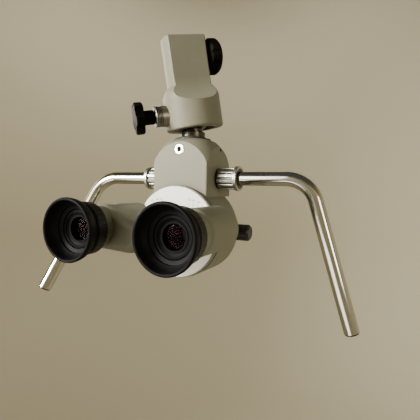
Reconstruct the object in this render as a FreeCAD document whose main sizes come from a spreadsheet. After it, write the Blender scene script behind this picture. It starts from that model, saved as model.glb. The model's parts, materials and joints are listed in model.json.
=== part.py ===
import FreeCAD, Part
import math
import os
import Sketcher
from FreeCAD import Placement, Rotation, Vector

# Head of a binocular surgical microscope that hangs from a ball joint at the end of an arm.
# Row frame: the origin is the mouth of the arm's socket, +Z is up, +X is the user's right
# and -Y points at the user, who looks along +Y.
# Head frame, used for nearly every piece: the origin is where the swivel's upright axis
# crosses the height of the optical axes.

doc = FreeCAD.newDocument("surgical_microscope")

# Driving dimensions, in millimetres and degrees.

DIMENSIONS = [
    # Ball joint and its socket, which leans while the head hangs plumb
    ("socket_yaw", 45, "turn of the socket about the upright"),
    ("socket_lean", 9.5, "lean of the socket's axis at rest"),
    ("socket_height", 56, "ball centre to the mouth of the arm's bore"),
    ("foot_radius", 22, "socket at its lower edge"),
    ("cup_radius", 21.8, "socket where the shoulder starts"),
    ("cup_drop", 12, "ball centre down to the lower edge"),
    ("shoulder_height", 11, "ball centre up to the shoulder"),
    ("shoulder_curve", 12, "radius of the shoulder's curve"),
    ("neck_radius", 17, "round neck above the shoulder"),
    ("neck_start", 20, "ball centre up to the neck"),
    ("neck_flat", 10, "half the distance over the neck's two flats"),
    ("runout_radius", 20, "concave end of each flat"),
    ("runout_height", 25.3, "where each flat starts to curve out"),
    ("arm_bore_radius", 8, "bore for the arm's pin"),
    ("arm_bore_depth", 28, "depth of that bore"),
    ("ball_radius", 14, "steel ball"),
    ("joint_fit", 0.05, "running clearance of ball, shafts and slides"),
    ("liner_wall", 1.95, "split bearing shell around the ball"),
    ("liner_low", 7, "shell below the ball's centre"),
    ("liner_high", 9, "shell above the ball's centre"),
    ("liner_slit", 2, "slit in the shell"),
    ("ring_radius", 18, "retaining ring's thread"),
    ("ring_height", 7, "retaining ring"),
    ("seat_low", 8.5, "lower end of the ring's spherical seat"),
    ("mouth_radius", 15, "wide end of the mouth"),
    ("notch_width", 3, "spanner notches in the ring"),
    ("notch_depth", 1.4, "spanner notches in the ring"),
    # Clamp of the ball and lock of the arm
    ("pad_radius", 3.5, "pad that presses on the shell"),
    ("pad_length", 1.4, "pad"),
    ("spindle_radius", 3, "both clamp screws"),
    ("bush_radius", 7.9, "ringed steel bush"),
    ("bush_seat", 19, "ball centre to the bush's seat"),
    ("bush_length", 11.5, "ringed steel bush"),
    ("bush_rings", 4, "rings turned on the bush"),
    ("ring_groove", 0.7, "width of a groove between rings"),
    ("ring_groove_depth", 0.6, "depth of a groove between rings"),
    ("star_gap", 0.6, "bush to the star knob"),
    ("hub_radius", 5.3, "star knob's hub"),
    ("hub_length", 8, "star knob's hub"),
    ("star_radius", 11.8, "star knob over its lobes"),
    ("star_thickness", 6.5, "star knob's lobes"),
    ("star_lobes", 5, "lobes"),
    ("scallop_radius", 5, "hollow between two lobes"),
    ("scallop_place", 13.6, "centre of each hollow"),
    ("lock_height", 42, "ball centre up to the arm's lock"),
    ("lock_radius", 13.5, "domed lock knob"),
    ("lock_thickness", 10.5, "domed lock knob"),
    ("lock_grips", 10, "finger hollows in the lock knob"),
    ("lock_grip_radius", 2.4, "finger hollow"),
    # Stud that carries the head and lets it swivel
    ("ball_rise", 20.5, "ball centre above the head's land"),
    ("stud_neck", 7.5, "stud below the ball"),
    ("collar_radius", 9.7, "stud's collar"),
    ("collar_height", 4, "stud's collar"),
    ("collar_line", 0.5, "groove line round the collar"),
    ("shaft_radius", 6, "stud in its bush"),
    ("stud_thread", 5, "stud's threaded end"),
    ("stud_thread_length", 6, "stud's threaded end"),
    ("washer_radius", 14, "thrust washer on the head's land"),
    ("washer_thickness", 0.8, "thrust washer"),
    ("washer_ring_radius", 9.9, "upper ring of the washer"),
    ("washer_ring_height", 1.5, "upper ring of the washer"),
    ("pivot_bush_radius", 9, "brass bush in the head"),
    ("pivot_bush_length", 11.5, "brass bush in the head"),
    ("spring_height", 1.5, "pair of dished spring washers"),
    ("spring_radius", 8, "dished spring washers"),
    ("spring_plate", 0.8, "thickness of a spring washer"),
    ("nut_flats", 13, "stud nut over its flats"),
    ("nut_height", 4, "stud nut"),
    ("nut_room", 10.2, "radius of the room round the nut"),
    ("nut_room_depth", 11, "height of that room"),
    # Head casting
    ("block_half_width", 22.9, "upper block, half its width"),
    ("block_front", 19.8, "swivel axis to the front face"),
    ("block_back", 22, "swivel axis to the back face"),
    ("block_edge", 1.2, "rounding of the upright edges"),
    ("land_radius", 14, "flat land on top"),
    ("land_height", 69, "land above the optical axes"),
    ("crown_radius", 18, "outer end of the gentle slope"),
    ("crown_drop", 1.6, "land down to the outer end of the gentle slope"),
    ("crown_curve", 38, "radius of the turned shoulder"),
    ("cone_radius", 30.3, "turned shoulder where it meets the corners"),
    ("cone_drop", 18.1, "from there down to where the shoulder meets the corners"),
    ("flank_angle", 72.5, "slope of the turned form past the corners"),
    ("drum_radius", 34.5, "round lower casting"),
    ("drum_back", 12, "swivel axis to the drum's back"),
    ("front_bore", 25, "front bore for the tube flange"),
    ("front_bore_depth", 5.8, "front bore"),
    ("beam_half_gap", 11.5, "half the distance between the two beams"),
    ("beam_radius", 5, "free radius of each beam"),
    ("tube_lens_radius", 6.4, "tube lens"),
    ("tube_lens_thickness", 2.2, "tube lens"),
    ("objective_bore", 21, "bore behind the changer"),
    # Magnification changer
    ("changer_radius", 10.3, "changer drum"),
    ("changer_wall", 1.8, "wall of the changer drum"),
    ("changer_half_length", 20, "changer drum"),
    ("changer_gap", 0.3, "drum to the walls of its chamber"),
    ("changer_windows", 6, "windows round the drum for each beam"),
    ("changer_lens_radius", 4.2, "small lenses in the windows"),
    ("changer_lens_thickness", 1.6, "small lenses"),
    ("changer_shaft_radius", 3, "changer shaft"),
    ("bearing_radius", 7, "bearing bush of the changer"),
    ("bearing_length", 6, "bearing bush of the changer"),
    ("changer_knob_radius", 6, "changer knob"),
    ("changer_knob_length", 14.3, "changer knob"),
    ("changer_knob_gap", 0.4, "drum casting to the knob"),
    ("changer_knob_grips", 12, "flutes of the changer knob"),
    ("changer_knob_chamfer", 1.3, "end of the changer knob"),
    # Back of the head: objective and illumination
    ("cover_depth", 10, "rear cover, tapered"),
    ("cover_back_radius", 30, "rear cover at its back"),
    ("objective_radius", 22, "objective lens"),
    ("objective_thickness", 5, "objective lens"),
    ("objective_curve", 60, "radius of the lens's faces"),
    ("objective_seat", 19.5, "clear radius in front of the lens"),
    ("objective_sunk", 1.5, "lens seat behind the cover's joint"),
    ("objective_ring_radius", 26, "knurled ring that holds the lens"),
    ("objective_ring_height", 5, "part of that ring behind the cover"),
    ("objective_ring_grips", 30, "grip grooves round that ring"),
    ("prism_reach", 11, "illumination prism, half its tall face"),
    ("prism_half_width", 7, "illumination prism"),
    ("prism_height", 47, "illumination prism above the optical axes"),
    ("prism_room", 0.5, "room round the prism"),
    ("plate_thickness", 3, "illuminator plate"),
    ("plate_half_width", 15, "illuminator plate"),
    ("plate_half_height", 12, "illuminator plate"),
    ("window_radius", 4.4, "illumination lens"),
    ("window_drop", 5.8, "illumination lens below the prism's middle"),
    ("guide_outer", 6, "light guide socket"),
    ("guide_bore", 4.2, "bore for the light guide's end"),
    ("guide_length", 16, "light guide socket"),
    ("guide_rise", 5.2, "light guide socket above the prism's middle"),
    ("screw_head_radius", 2.2, "cover screws"),
    ("screw_head_height", 1.6, "cover screws"),
    ("screw_shank_radius", 1.25, "cover screws"),
    ("screw_shank_length", 5, "cover screws"),
    ("screw_hex", 2, "hexagon socket over its flats"),
    # Two screws that show on the head
    ("ring_screw_drop", 8.6, "land down to the ringed screw on the front"),
    ("ring_screw_radius", 3.5, "ringed screw"),
    ("ring_screw_hole", 2, "recess of the ringed screw"),
    ("ring_screw_length", 9, "ringed screw"),
    ("ring_screw_proud", 0.5, "how far the ringed screw stands out"),
    ("grub_radius", 1.5, "grub screw in the right side"),
    ("grub_back", 3, "grub screw behind the swivel axis"),
    ("grub_drop", 8, "land down to the grub screw"),
    ("grub_length", 7, "grub screw"),
    ("grub_sunk", 0.6, "grub screw below the surface"),
    # Flange and light disc that carry the two tubes
    ("flange_radius", 34, "tube flange"),
    ("flange_thickness", 5.2, "tube flange, to its front edge"),
    ("disc_radius", 33.15, "light disc on the flange"),
    ("disc_thickness", 1, "light disc"),
    ("disc_recess", 0.6, "how deep the disc is let into the flange"),
    ("flange_spigot", 2, "flange inside the front bore"),
    # Swinging tubes
    ("tube_gap", 0.3, "light disc to each tube"),
    ("tube_swing", 12.6, "rest angle of each tube above level"),
    ("arm_length", 23.9, "entrance axis to eyepiece axis"),
    ("inner_lobe", 11.2, "tube round the entrance axis"),
    ("outer_lobe", 15.2, "tube round the eyepiece axis"),
    ("tube_depth", 42, "light disc to the tube's front"),
    ("tube_rounding", 6, "rounding of the tube's front edge"),
    ("tube_wall", 1.8, "wall round the tube's base"),
    ("base_thickness", 3, "base plate of a tube"),
    ("pivot_radius", 8.6, "pivot of a tube"),
    ("gear_seat_radius", 7, "end of the pivot inside its gear"),
    ("gear_teeth", 23, "teeth of each coupling gear"),
    ("gear_thickness", 2.8, "coupling gear"),
    ("gear_backlash", 0.14, "thinning of each tooth"),
    ("pressure_angle", 20, "coupling gears"),
    ("block_prism_half", 5.8, "half the side of the offset prism's faces"),
    ("block_prism_start", 4, "offset prism above the light disc"),
    ("erector_length", 10, "erecting prism"),
    ("prism_gap", 0.6, "gap between the prisms and to their walls"),
    # Eyepieces
    ("cell_radius", 12, "eyepiece cell in its sleeve"),
    ("cell_start", 32, "light disc to the cell's inner end"),
    ("sleeve_radius", 14.2, "sleeve on the front of a tube"),
    ("sleeve_end", 52, "light disc to the sleeve's end"),
    ("focus_ring_radius", 17, "ribbed focusing ring"),
    ("focus_ring_start", 49.5, "light disc to the ring"),
    ("focus_ring_end", 57, "light disc to the ring's end"),
    ("focus_ring_lip", 1.5, "lip that runs on the cell"),
    ("focus_ring_ribs", 32, "ribs of the focusing ring"),
    ("rib_groove", 0.45, "radius of the grooves between ribs"),
    ("cell_flange", 13.6, "flange under the ring's lip"),
    ("cell_end", 58, "light disc to the cell's face"),
    ("eye_lens_radius", 7.6, "eye lens"),
    ("eye_lens_thickness", 3, "eye lens at its middle"),
    ("eye_face_radius", 10.6, "wide end of the dish round the eye lens"),
    ("eye_dish_depth", 1.5, "dish round the eye lens"),
    ("eye_step", 0.5, "step at the dish's wide end"),
    ("eye_ring_radius", 8.7, "raised ring round the eye lens"),
    ("eye_ring_rise", 0.6, "raised ring above the dish's floor"),
    ("cell_bevel", 0.4, "outer edge of the cell's face"),
    ("field_lens_radius", 9.8, "field lens"),
    ("field_lens_thickness", 3, "field lens"),
    ("lens_shoulder", 0.8, "step that each eyepiece lens rests on"),
    ("cell_bore", 9, "bore between the eyepiece lenses"),
    ("cup_foot", 17, "rubber eyecup at its foot"),
    ("cup_hole", 12.6, "rubber eyecup's inner foot"),
    ("cup_rim", 20, "rubber eyecup's rim"),
    ("cup_length", 11.3, "rubber eyecup"),
    ("cup_wall", 1.1, "rubber eyecup near its rim"),
    ("cup_floor", 1.6, "floor of the eyecup"),
    ("cup_band", 1.6, "plain band round the eyecup's foot"),
    ("cup_groove", 0.6, "groove that parts the band from the flare"),
    ("cup_step", 15, "step moulded inside the eyecup"),
    # Handles
    ("handle_height", 39.5, "handle axis above the optical axes"),
    ("handle_radius", 5, "handle tube"),
    ("handle_wall", 1.2, "handle tube"),
    ("handle_start", 18, "swivel axis to the tube's inner end"),
    ("handle_corner", 90.6, "swivel axis to the corner of the tube"),
    ("handle_bend", 21, "bend radius of the tube"),
    ("handle_leg", 106.2, "corner to the tube's end"),
    ("handle_splay", 16.4, "outward lean of the leg"),
    ("left_handle_swing", 22, "left handle's rest swing towards the user"),
    ("right_handle_swing", 3, "right handle's rest swing away from the user"),
    ("plug_lip", 1, "end plug outside the tube"),
    ("plug_length", 8, "end plug inside the tube"),
    ("boss_radius", 6.6, "threaded boss in the side of the head"),
    ("boss_inside", 7, "boss inside the head"),
    ("boss_collar_radius", 7.4, "collar of the boss"),
    ("boss_collar", 1.4, "collar of the boss"),
    ("boss_length", 10.5, "boss outside the head"),
    ("nut_gap", 0.3, "boss collar to the handle nut"),
    ("handle_nut_radius", 8.2, "fluted handle nut"),
    ("handle_nut_length", 12.4, "fluted stretch of the handle nut"),
    ("handle_nut_flutes", 12, "flutes of the handle nut"),
    ("flute_radius", 1.2, "flute of the handle nut"),
    ("nut_groove", 0.6, "groove behind the nut's flange"),
    ("nut_flange_radius", 9.2, "nut's flange"),
    ("nut_flange", 2.6, "nut's flange"),
    ("nut_lip", 1.1, "lip of the nut that presses the wedge"),
    ("wedge_gap", 0.3, "boss to the wedge ring"),
    ("wedge_slit", 1.2, "slit in the wedge ring"),
]


class Size:
    """A size with its value and the formula that ties it to the sheet."""

    def __init__(self, value, formula):
        self.value = float(value)
        self.formula = formula

    def __add__(self, other):
        other = as_size(other)
        return Size(self.value + other.value, f"({self.formula} + {other.formula})")

    def __sub__(self, other):
        other = as_size(other)
        return Size(self.value - other.value, f"({self.formula} - {other.formula})")

    def __mul__(self, other):
        other = as_size(other)
        return Size(self.value * other.value, f"({self.formula} * {other.formula})")

    def __truediv__(self, other):
        other = as_size(other)
        return Size(self.value / other.value, f"({self.formula} / {other.formula})")

    def __neg__(self):
        return Size(-self.value, f"(0 - {self.formula})")

    def __radd__(self, other):
        return as_size(other) + self

    def __rsub__(self, other):
        return as_size(other) - self

    def __rmul__(self, other):
        return as_size(other) * self


def as_size(number):
    """Give a plain number as a size, and leave a size as it is."""
    if isinstance(number, Size):
        return number
    return Size(number, repr(float(number)))


def root(size):
    return Size(math.sqrt(size.value), f"sqrt({size.formula})")


def leg_of(long_side, short_side):
    """The other short side of a right triangle."""
    return root(long_side * long_side - short_side * short_side)


def dome_radius(radius, rise):
    """Radius of a dome that rises so much over a circle of that radius."""
    return (radius * radius + rise * rise) / (rise * 2)


def sine(angle):
    return Size(math.sin(math.radians(angle.value)), f"sin({angle.formula})")


def cosine(angle):
    return Size(math.cos(math.radians(angle.value)), f"cos({angle.formula})")


def tangent(angle):
    return Size(math.tan(math.radians(angle.value)), f"tan({angle.formula})")


class Dimensions:
    """The driving dimensions as sizes, one attribute for each."""


sheet = doc.addObject("Spreadsheet::Sheet", "Sizes")
d = Dimensions()
for line, (name, value, note) in enumerate(DIMENSIONS, 1):
    sheet.set(f"A{line}", name)
    sheet.set(f"B{line}", str(value))
    sheet.set(f"C{line}", note)
    sheet.setAlias(f"B{line}", name)
    setattr(d, name, Size(value, f"Sizes.{name}"))
doc.recompute()

ZERO = as_size(0)
FULL_TURN = as_size(360)
BEYOND = 2
bodies = {}


# Helpers that make bodies, sketches and features.

def new_body(label):
    body = doc.addObject("PartDesign::Body", "Body_" + label)
    body.Label = label
    bodies[label] = body
    return body


def origin_of(body, role):
    return next(item for item in body.Origin.OriginFeatures if item.Role == role)


def bind(item, path, size):
    """Tie a property or constraint of item to the sheet."""
    item.setExpression(path, as_size(size).formula)


def new_sketch(body, role, offset=0):
    sketch = body.newObject("Sketcher::SketchObject", "Sketch")
    sketch.AttachmentSupport = [(origin_of(body, role), "")]
    sketch.MapMode = "FlatFace"
    sketch.AttachmentOffset = Placement(Vector(0, 0, as_size(offset).value), Rotation())
    bind(sketch, "AttachmentOffset.Base.z", offset)
    return sketch


def tie(sketch, kind, place, size):
    """Add a sketch constraint whose size follows the sheet."""
    index = sketch.addConstraint(Sketcher.Constraint(kind, *place, size.value))
    sketch.setExpression(f"Constraints[{index}]", size.formula)


def tie_point(sketch, curve, end, point):
    for kind, axis_line, size in (("DistanceX", -2, point[0]), ("DistanceY", -1, point[1])):
        if size.value == 0:
            sketch.addConstraint(Sketcher.Constraint("PointOnObject", curve, end, axis_line))
        else:
            tie(sketch, kind, (curve, end), size)


def arc_between(start, end, radius):
    """Short arc from start to end: it turns left where radius is positive, else right."""
    a = Vector(start[0].value, start[1].value, 0)
    b = Vector(end[0].value, end[1].value, 0)
    half = (b - a) * 0.5
    rise = math.sqrt(max(radius.value ** 2 - half.Length ** 2, 0))
    left = Vector(-half.y, half.x, 0).normalize()
    turn = math.copysign(1, radius.value)
    centre = a + half + left * rise * turn
    first, last = (a, b) if turn > 0 else (b, a)
    angles = [math.atan2(p.y - centre.y, p.x - centre.x) for p in (first, last)]
    circle = Part.Circle(centre, Vector(0, 0, 1), abs(radius.value))
    return Part.ArcOfCircle(circle, *angles)


def draw(sketch, points, closed=True):
    """Draw a line through points (x, y); a point (x, y, radius) is reached by an arc."""
    points = [tuple(as_size(number) for number in point) for point in points]
    first = sketch.GeometryCount
    ends = points[1:] + points[:1] if closed else points[1:]
    for index, end in enumerate(ends):
        start = points[index]
        if len(end) == 3:
            sketch.addGeometry(arc_between(start, end, end[2]))
        else:
            line = [Vector(point[0].value, point[1].value, 0) for point in (start, end)]
            sketch.addGeometry(Part.LineSegment(*line))
    curves = []
    for index, end in enumerate(ends):
        backward = len(end) == 3 and end[2].value < 0
        curves.append((first + index, 2 if backward else 1, 1 if backward else 2))
    joints = list(zip(curves, curves[1:]))
    if closed:
        joints.append((curves[-1], curves[0]))
    for (curve, start, end), (after, after_start, after_end) in joints:
        sketch.addConstraint(Sketcher.Constraint("Coincident", curve, end, after, after_start))
    for (curve, start, end), point, target in zip(curves, points, ends):
        tie_point(sketch, curve, start, point)
        if len(target) == 3:
            size = target[2] if target[2].value > 0 else -target[2]
            tie(sketch, "Radius", (curve,), size)
    if not closed:
        curve, start, end = curves[-1]
        tie_point(sketch, curve, end, points[-1])


def circle(sketch, radius, x=ZERO, y=ZERO):
    x = as_size(x)
    y = as_size(y)
    centre = Vector(x.value, y.value, 0)
    curve = sketch.addGeometry(Part.Circle(centre, Vector(0, 0, 1), radius.value))
    tie_point(sketch, curve, 3, (x, y))
    tie(sketch, "Radius", (curve,), radius)


def rectangle(sketch, low, high):
    draw(sketch, [low, (high[0], low[1]), high, (low[0], high[1])])


def hexagon(sketch, flats, x=ZERO, y=ZERO):
    corner = flats / cosine(as_size(30)) / 2
    turns = [as_size(60 * index) for index in range(6)]
    draw(sketch, [(x + corner * cosine(turn), y + corner * sine(turn)) for turn in turns])


def lobes(sketch, inner, outer, distance):
    """Outline round two circles on the x axis, joined by their outer tangents."""
    lean = (outer - inner) / distance
    along = root(1 - lean * lean)
    far = Vector(distance.value, 0, 0)
    turn = math.asin(lean.value)
    up = Vector(-lean.value, along.value, 0)
    down = Vector(-lean.value, -along.value, 0)
    normal = Vector(0, 0, 1)
    left_circle = Part.Circle(Vector(0, 0, 0), normal, inner.value)
    right_circle = Part.Circle(far, normal, outer.value)
    left = Part.ArcOfCircle(left_circle, math.pi / 2 + turn, 3 * math.pi / 2 - turn)
    right = Part.ArcOfCircle(right_circle, -math.pi / 2 - turn, math.pi / 2 + turn)
    top = Part.LineSegment(far + up * outer.value, up * inner.value)
    bottom = Part.LineSegment(down * inner.value, far + down * outer.value)
    first = sketch.GeometryCount
    for curve in (left, bottom, right, top):
        sketch.addGeometry(curve)
    for index in range(4):
        after = (index + 1) % 4
        place = (first + index, 2, first + after, 1)
        sketch.addConstraint(Sketcher.Constraint("Tangent", *place))
    tie_point(sketch, first, 3, (ZERO, ZERO))
    tie_point(sketch, first + 2, 3, (distance, ZERO))
    tie(sketch, "Radius", (first,), inner)
    tie(sketch, "Radius", (first + 2,), outer)


def feature(body, kind, sketch):
    item = body.newObject("PartDesign::" + kind, kind)
    item.Profile = sketch
    return item


def volume_of(body):
    doc.recompute()
    return body.Shape.Volume


# A straight feature runs from start over length along the axis that its plane faces.
# The XZ plane faces -Y, so its offset and its direction are turned round.

def sketch_across(body, role, start, drawing):
    offset = -as_size(start) if role == "XZ_Plane" else start
    sketch = new_sketch(body, role, offset)
    drawing(sketch)
    return sketch


def add(body, role, start, length, drawing):
    sketch = sketch_across(body, role, start, drawing)
    pad = feature(body, "Pad", sketch)
    bind(pad, "Length", length)
    pad.Reversed = role == "XZ_Plane"
    return pad


def cut(body, role, start, length, drawing):
    before = volume_of(body)
    sketch = sketch_across(body, role, start, drawing)
    pocket = feature(body, "Pocket", sketch)
    bind(pocket, "Length", length)
    pocket.Reversed = role != "XZ_Plane"
    if volume_of(body) >= before:
        raise ValueError("a pocket cuts nothing in " + body.Label)
    return pocket


def turn(body, points, kind="Revolution", axis="V_Axis"):
    """Turn a profile of (radius, height) points about the upright axis."""
    sketch = new_sketch(body, "XZ_Plane")
    draw(sketch, points)
    item = feature(body, kind, sketch)
    item.ReferenceAxis = (sketch, [axis])
    item.Angle = FULL_TURN.value
    return item


def repeat_round(body, original, count, role="Z_Axis"):
    pattern = body.newObject("PartDesign::PolarPattern", "PolarPattern")
    pattern.Originals = [original]
    pattern.Axis = (origin_of(body, role), [""])
    pattern.Angle = FULL_TURN.value
    pattern.Occurrences = round(count.value)
    bind(pattern, "Occurrences", count)
    body.Tip = pattern
    return pattern


def mirror(body, originals, role):
    mirrored = body.newObject("PartDesign::Mirrored", "Mirrored")
    mirrored.Originals = originals
    mirrored.MirrorPlane = (origin_of(body, role), [""])
    body.Tip = mirrored
    return mirrored


def dress(body, kind, size, picks):
    """Round or chamfer the edges that picks chooses."""
    doc.recompute()
    base = body.Tip
    edges = [f"Edge{index}" for index, edge in enumerate(base.Shape.Edges, 1) if picks(edge)]
    if not edges:
        raise ValueError("no edge to dress in " + body.Label)
    item = body.newObject("PartDesign::" + kind, kind)
    item.Base = (base, edges)
    bind(item, "Radius" if kind == "Fillet" else "Size", size)
    return item


def near(first, second):
    return abs(first - as_size(second).value) < 0.01


def curve_of(edge):
    """The edge's curve, or None where it has no kind of its own, as between two surfaces."""
    try:
        return edge.Curve
    except TypeError:
        return None


def ring_at(radius, height):
    """Choose round edges about the body's own axis."""
    def picks(edge):
        curve = curve_of(edge)
        if not isinstance(curve, Part.Circle):
            return False
        on_axis = near(curve.Center.x, 0) and near(curve.Center.y, 0)
        return on_axis and near(curve.Radius, radius) and near(curve.Center.z, height)
    return picks


def edges_at_height(height):
    """Choose the edges that lie level at this height."""
    def picks(edge):
        box = edge.BoundBox
        return near(box.ZMin, height) and near(box.ZMax, height)
    return picks


def place(body, position, rotation=Rotation()):
    body.Placement = Placement(position, rotation)


# Where the frames lie, from the sizes above.

X_AXIS = Vector(1, 0, 0)
Y_AXIS = Vector(0, 1, 0)
Z_AXIS = Vector(0, 0, 1)
YAW = Rotation(Z_AXIS, d.socket_yaw.value)
SOCKET_TURN = YAW.multiply(Rotation(Y_AXIS, -d.socket_lean.value))
BALL = SOCKET_TURN.multVec(Vector(0, 0, -d.socket_height.value))
BALL_HEIGHT = d.land_height + d.ball_rise
HEAD = BALL - Vector(0, 0, BALL_HEIGHT.value)
FACING_USER = Rotation(X_AXIS, 90)
FACING_BACK = Rotation(X_AXIS, -90)


def in_head(x=0, y=0, z=0):
    """A point of the head frame, in the row frame."""
    return HEAD + Vector(*(as_size(number).value for number in (x, y, z)))


def in_socket(height=0):
    """A point of the socket's axis, in the row frame."""
    return BALL + SOCKET_TURN.multVec(Vector(0, 0, as_size(height).value))


# Socket that the arm carries.

SHELL_RADIUS = d.ball_radius + d.joint_fit + d.liner_wall
SEAT_RADIUS = SHELL_RADIUS + d.joint_fit
RING_TOP = d.ring_height - d.cup_drop


def socket_housing():
    body = new_body("socket_housing")
    bore_floor = d.socket_height - d.arm_bore_depth
    turn(body, [
        (d.ring_radius, -d.cup_drop),
        (d.foot_radius, -d.cup_drop),
        (d.cup_radius, d.shoulder_height),
        (d.neck_radius, d.neck_start, d.shoulder_curve),
        (d.neck_radius, d.socket_height),
        (d.arm_bore_radius, d.socket_height),
        (d.arm_bore_radius, bore_floor),
        (ZERO, bore_floor),
        (ZERO, SEAT_RADIUS),
        (SEAT_RADIUS, ZERO, -SEAT_RADIUS),
        (SEAT_RADIUS, RING_TOP),
        (d.ring_radius, RING_TOP),
    ])
    far = d.foot_radius + BEYOND
    top = d.socket_height + BEYOND
    runout = d.runout_radius - (far - d.neck_flat)
    flat = cut(body, "YZ_Plane", -far, far * 2, lambda sketch: draw(sketch, [
        (d.neck_flat, top),
        (d.neck_flat, d.runout_height),
        (far, d.runout_height - leg_of(d.runout_radius, runout), d.runout_radius),
        (far, top),
    ]))
    mirror(body, [flat], "XZ_Plane")
    cut(body, "YZ_Plane", -far, far - d.bush_seat,
        lambda sketch: circle(sketch, d.bush_radius))
    cut(body, "YZ_Plane", -far, far - d.ball_radius,
        lambda sketch: circle(sketch, d.pad_radius + d.joint_fit))
    cut(body, "YZ_Plane", ZERO, far,
        lambda sketch: circle(sketch, d.spindle_radius + d.joint_fit, ZERO, d.lock_height))
    dress(body, "Fillet", 1.5, ring_at(d.foot_radius, -d.cup_drop))
    at_top = edges_at_height(d.socket_height)
    at_bore = ring_at(d.arm_bore_radius, d.socket_height)
    dress(body, "Chamfer", 0.6, lambda edge: at_top(edge) and not at_bore(edge))
    place(body, BALL, SOCKET_TURN)


def socket_retaining_ring():
    body = new_body("socket_retaining_ring")
    turn(body, [
        (leg_of(SEAT_RADIUS, -RING_TOP), RING_TOP),
        (leg_of(SEAT_RADIUS, d.seat_low), -d.seat_low, -SEAT_RADIUS),
        (d.mouth_radius, -d.cup_drop),
        (d.ring_radius, -d.cup_drop),
        (d.ring_radius, RING_TOP),
    ])
    half = d.notch_width / 2
    reach = d.ring_radius + BEYOND
    cut(body, "XY_Plane", -d.cup_drop, d.notch_depth,
        lambda sketch: rectangle(sketch, (-reach, -half), (reach, half)))
    place(body, BALL, SOCKET_TURN)


def ball_liner():
    body = new_body("ball_liner")
    inner = d.ball_radius + d.joint_fit
    turn(body, [
        (leg_of(inner, d.liner_low), -d.liner_low, -inner),
        (leg_of(SHELL_RADIUS, d.liner_low), -d.liner_low),
        (leg_of(SHELL_RADIUS, d.liner_high), d.liner_high, SHELL_RADIUS),
        (leg_of(inner, d.liner_high), d.liner_high),
    ])
    half = d.liner_slit / 2
    reach = SHELL_RADIUS + BEYOND
    cut(body, "XY_Plane", -d.liner_low - BEYOND, reach * 2,
        lambda sketch: rectangle(sketch, (ZERO, -half), (reach, half)))
    place(body, BALL, YAW)


# Clamp of the ball. Its pieces are turned about the clamp's axis, which points outwards.

CLAMP_TURN = SOCKET_TURN.multiply(Rotation(Z_AXIS, -X_AXIS))
LOCK_TURN = SOCKET_TURN.multiply(Rotation(Z_AXIS, X_AXIS))
BUSH_END = d.bush_seat + d.bush_length
PAD_FACE = SHELL_RADIUS + d.joint_fit * 2
PAD_BACK = PAD_FACE + d.pad_length


def clamp_bush():
    body = new_body("clamp_bush")
    hole = d.spindle_radius + d.joint_fit
    pitch = d.bush_length / (d.bush_rings * 2 - 1) / 1.5
    points = [(hole, BUSH_END), (hole, d.bush_seat), (d.bush_radius, d.bush_seat)]
    waist = d.bush_radius - d.ring_groove_depth
    last = BUSH_END - pitch
    for index in range(round(d.bush_rings.value) - 1, -1, -1):
        low = last - pitch * index - d.ring_groove
        high = low + d.ring_groove
        points += [(d.bush_radius, low), (waist, low), (waist, high), (d.bush_radius, high)]
    points.append((d.bush_radius, BUSH_END))
    turn(body, points)
    dress(body, "Chamfer", 0.5, ring_at(d.bush_radius, BUSH_END))
    place(body, BALL, CLAMP_TURN)


def clamp_pad():
    body = new_body("clamp_pad")
    turn(body, [
        (ZERO, PAD_FACE),
        (d.pad_radius, leg_of(PAD_FACE, d.pad_radius), -PAD_FACE),
        (d.pad_radius, PAD_BACK),
        (ZERO, PAD_BACK),
    ])
    place(body, BALL, CLAMP_TURN)


HUB_START = BUSH_END + d.star_gap
STAR_START = HUB_START + d.hub_length
STAR_END = STAR_START + d.star_thickness


def clamp_spindle():
    body = new_body("clamp_spindle")
    add(body, "XY_Plane", PAD_BACK, STAR_END - 1.5 - PAD_BACK,
        lambda sketch: circle(sketch, d.spindle_radius))
    place(body, BALL, CLAMP_TURN)


def clamp_knob():
    body = new_body("clamp_knob")
    turn(body, [
        (d.spindle_radius, HUB_START),
        (d.hub_radius, HUB_START),
        (d.hub_radius, STAR_START),
        (d.star_radius, STAR_START),
        (d.star_radius, STAR_END),
        (ZERO, STAR_END),
        (ZERO, STAR_END - 1.5),
        (d.spindle_radius, STAR_END - 1.5),
    ])
    dress(body, "Fillet", 1.4, ring_at(d.star_radius, STAR_START))
    dress(body, "Fillet", 1.4, ring_at(d.star_radius, STAR_END))
    hollow = cut(body, "XY_Plane", STAR_START, d.star_thickness,
                 lambda sketch: circle(sketch, d.scallop_radius, d.scallop_place))
    repeat_round(body, hollow, d.star_lobes)
    dress(body, "Fillet", 0.6, ring_at(d.hub_radius, HUB_START))
    place(body, BALL, CLAMP_TURN)


LOCK_FACE = d.arm_bore_radius + d.joint_fit * 2
LOCK_PAD_END = LOCK_FACE + BEYOND
LOCK_KNOB_START = d.neck_radius + d.star_gap
LOCK_KNOB_END = LOCK_KNOB_START + d.lock_thickness


def arm_lock_pad():
    body = new_body("arm_lock_pad")
    add(body, "XY_Plane", LOCK_FACE, LOCK_PAD_END - LOCK_FACE,
        lambda sketch: circle(sketch, d.spindle_radius))
    place(body, in_socket(d.lock_height), LOCK_TURN)


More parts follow.
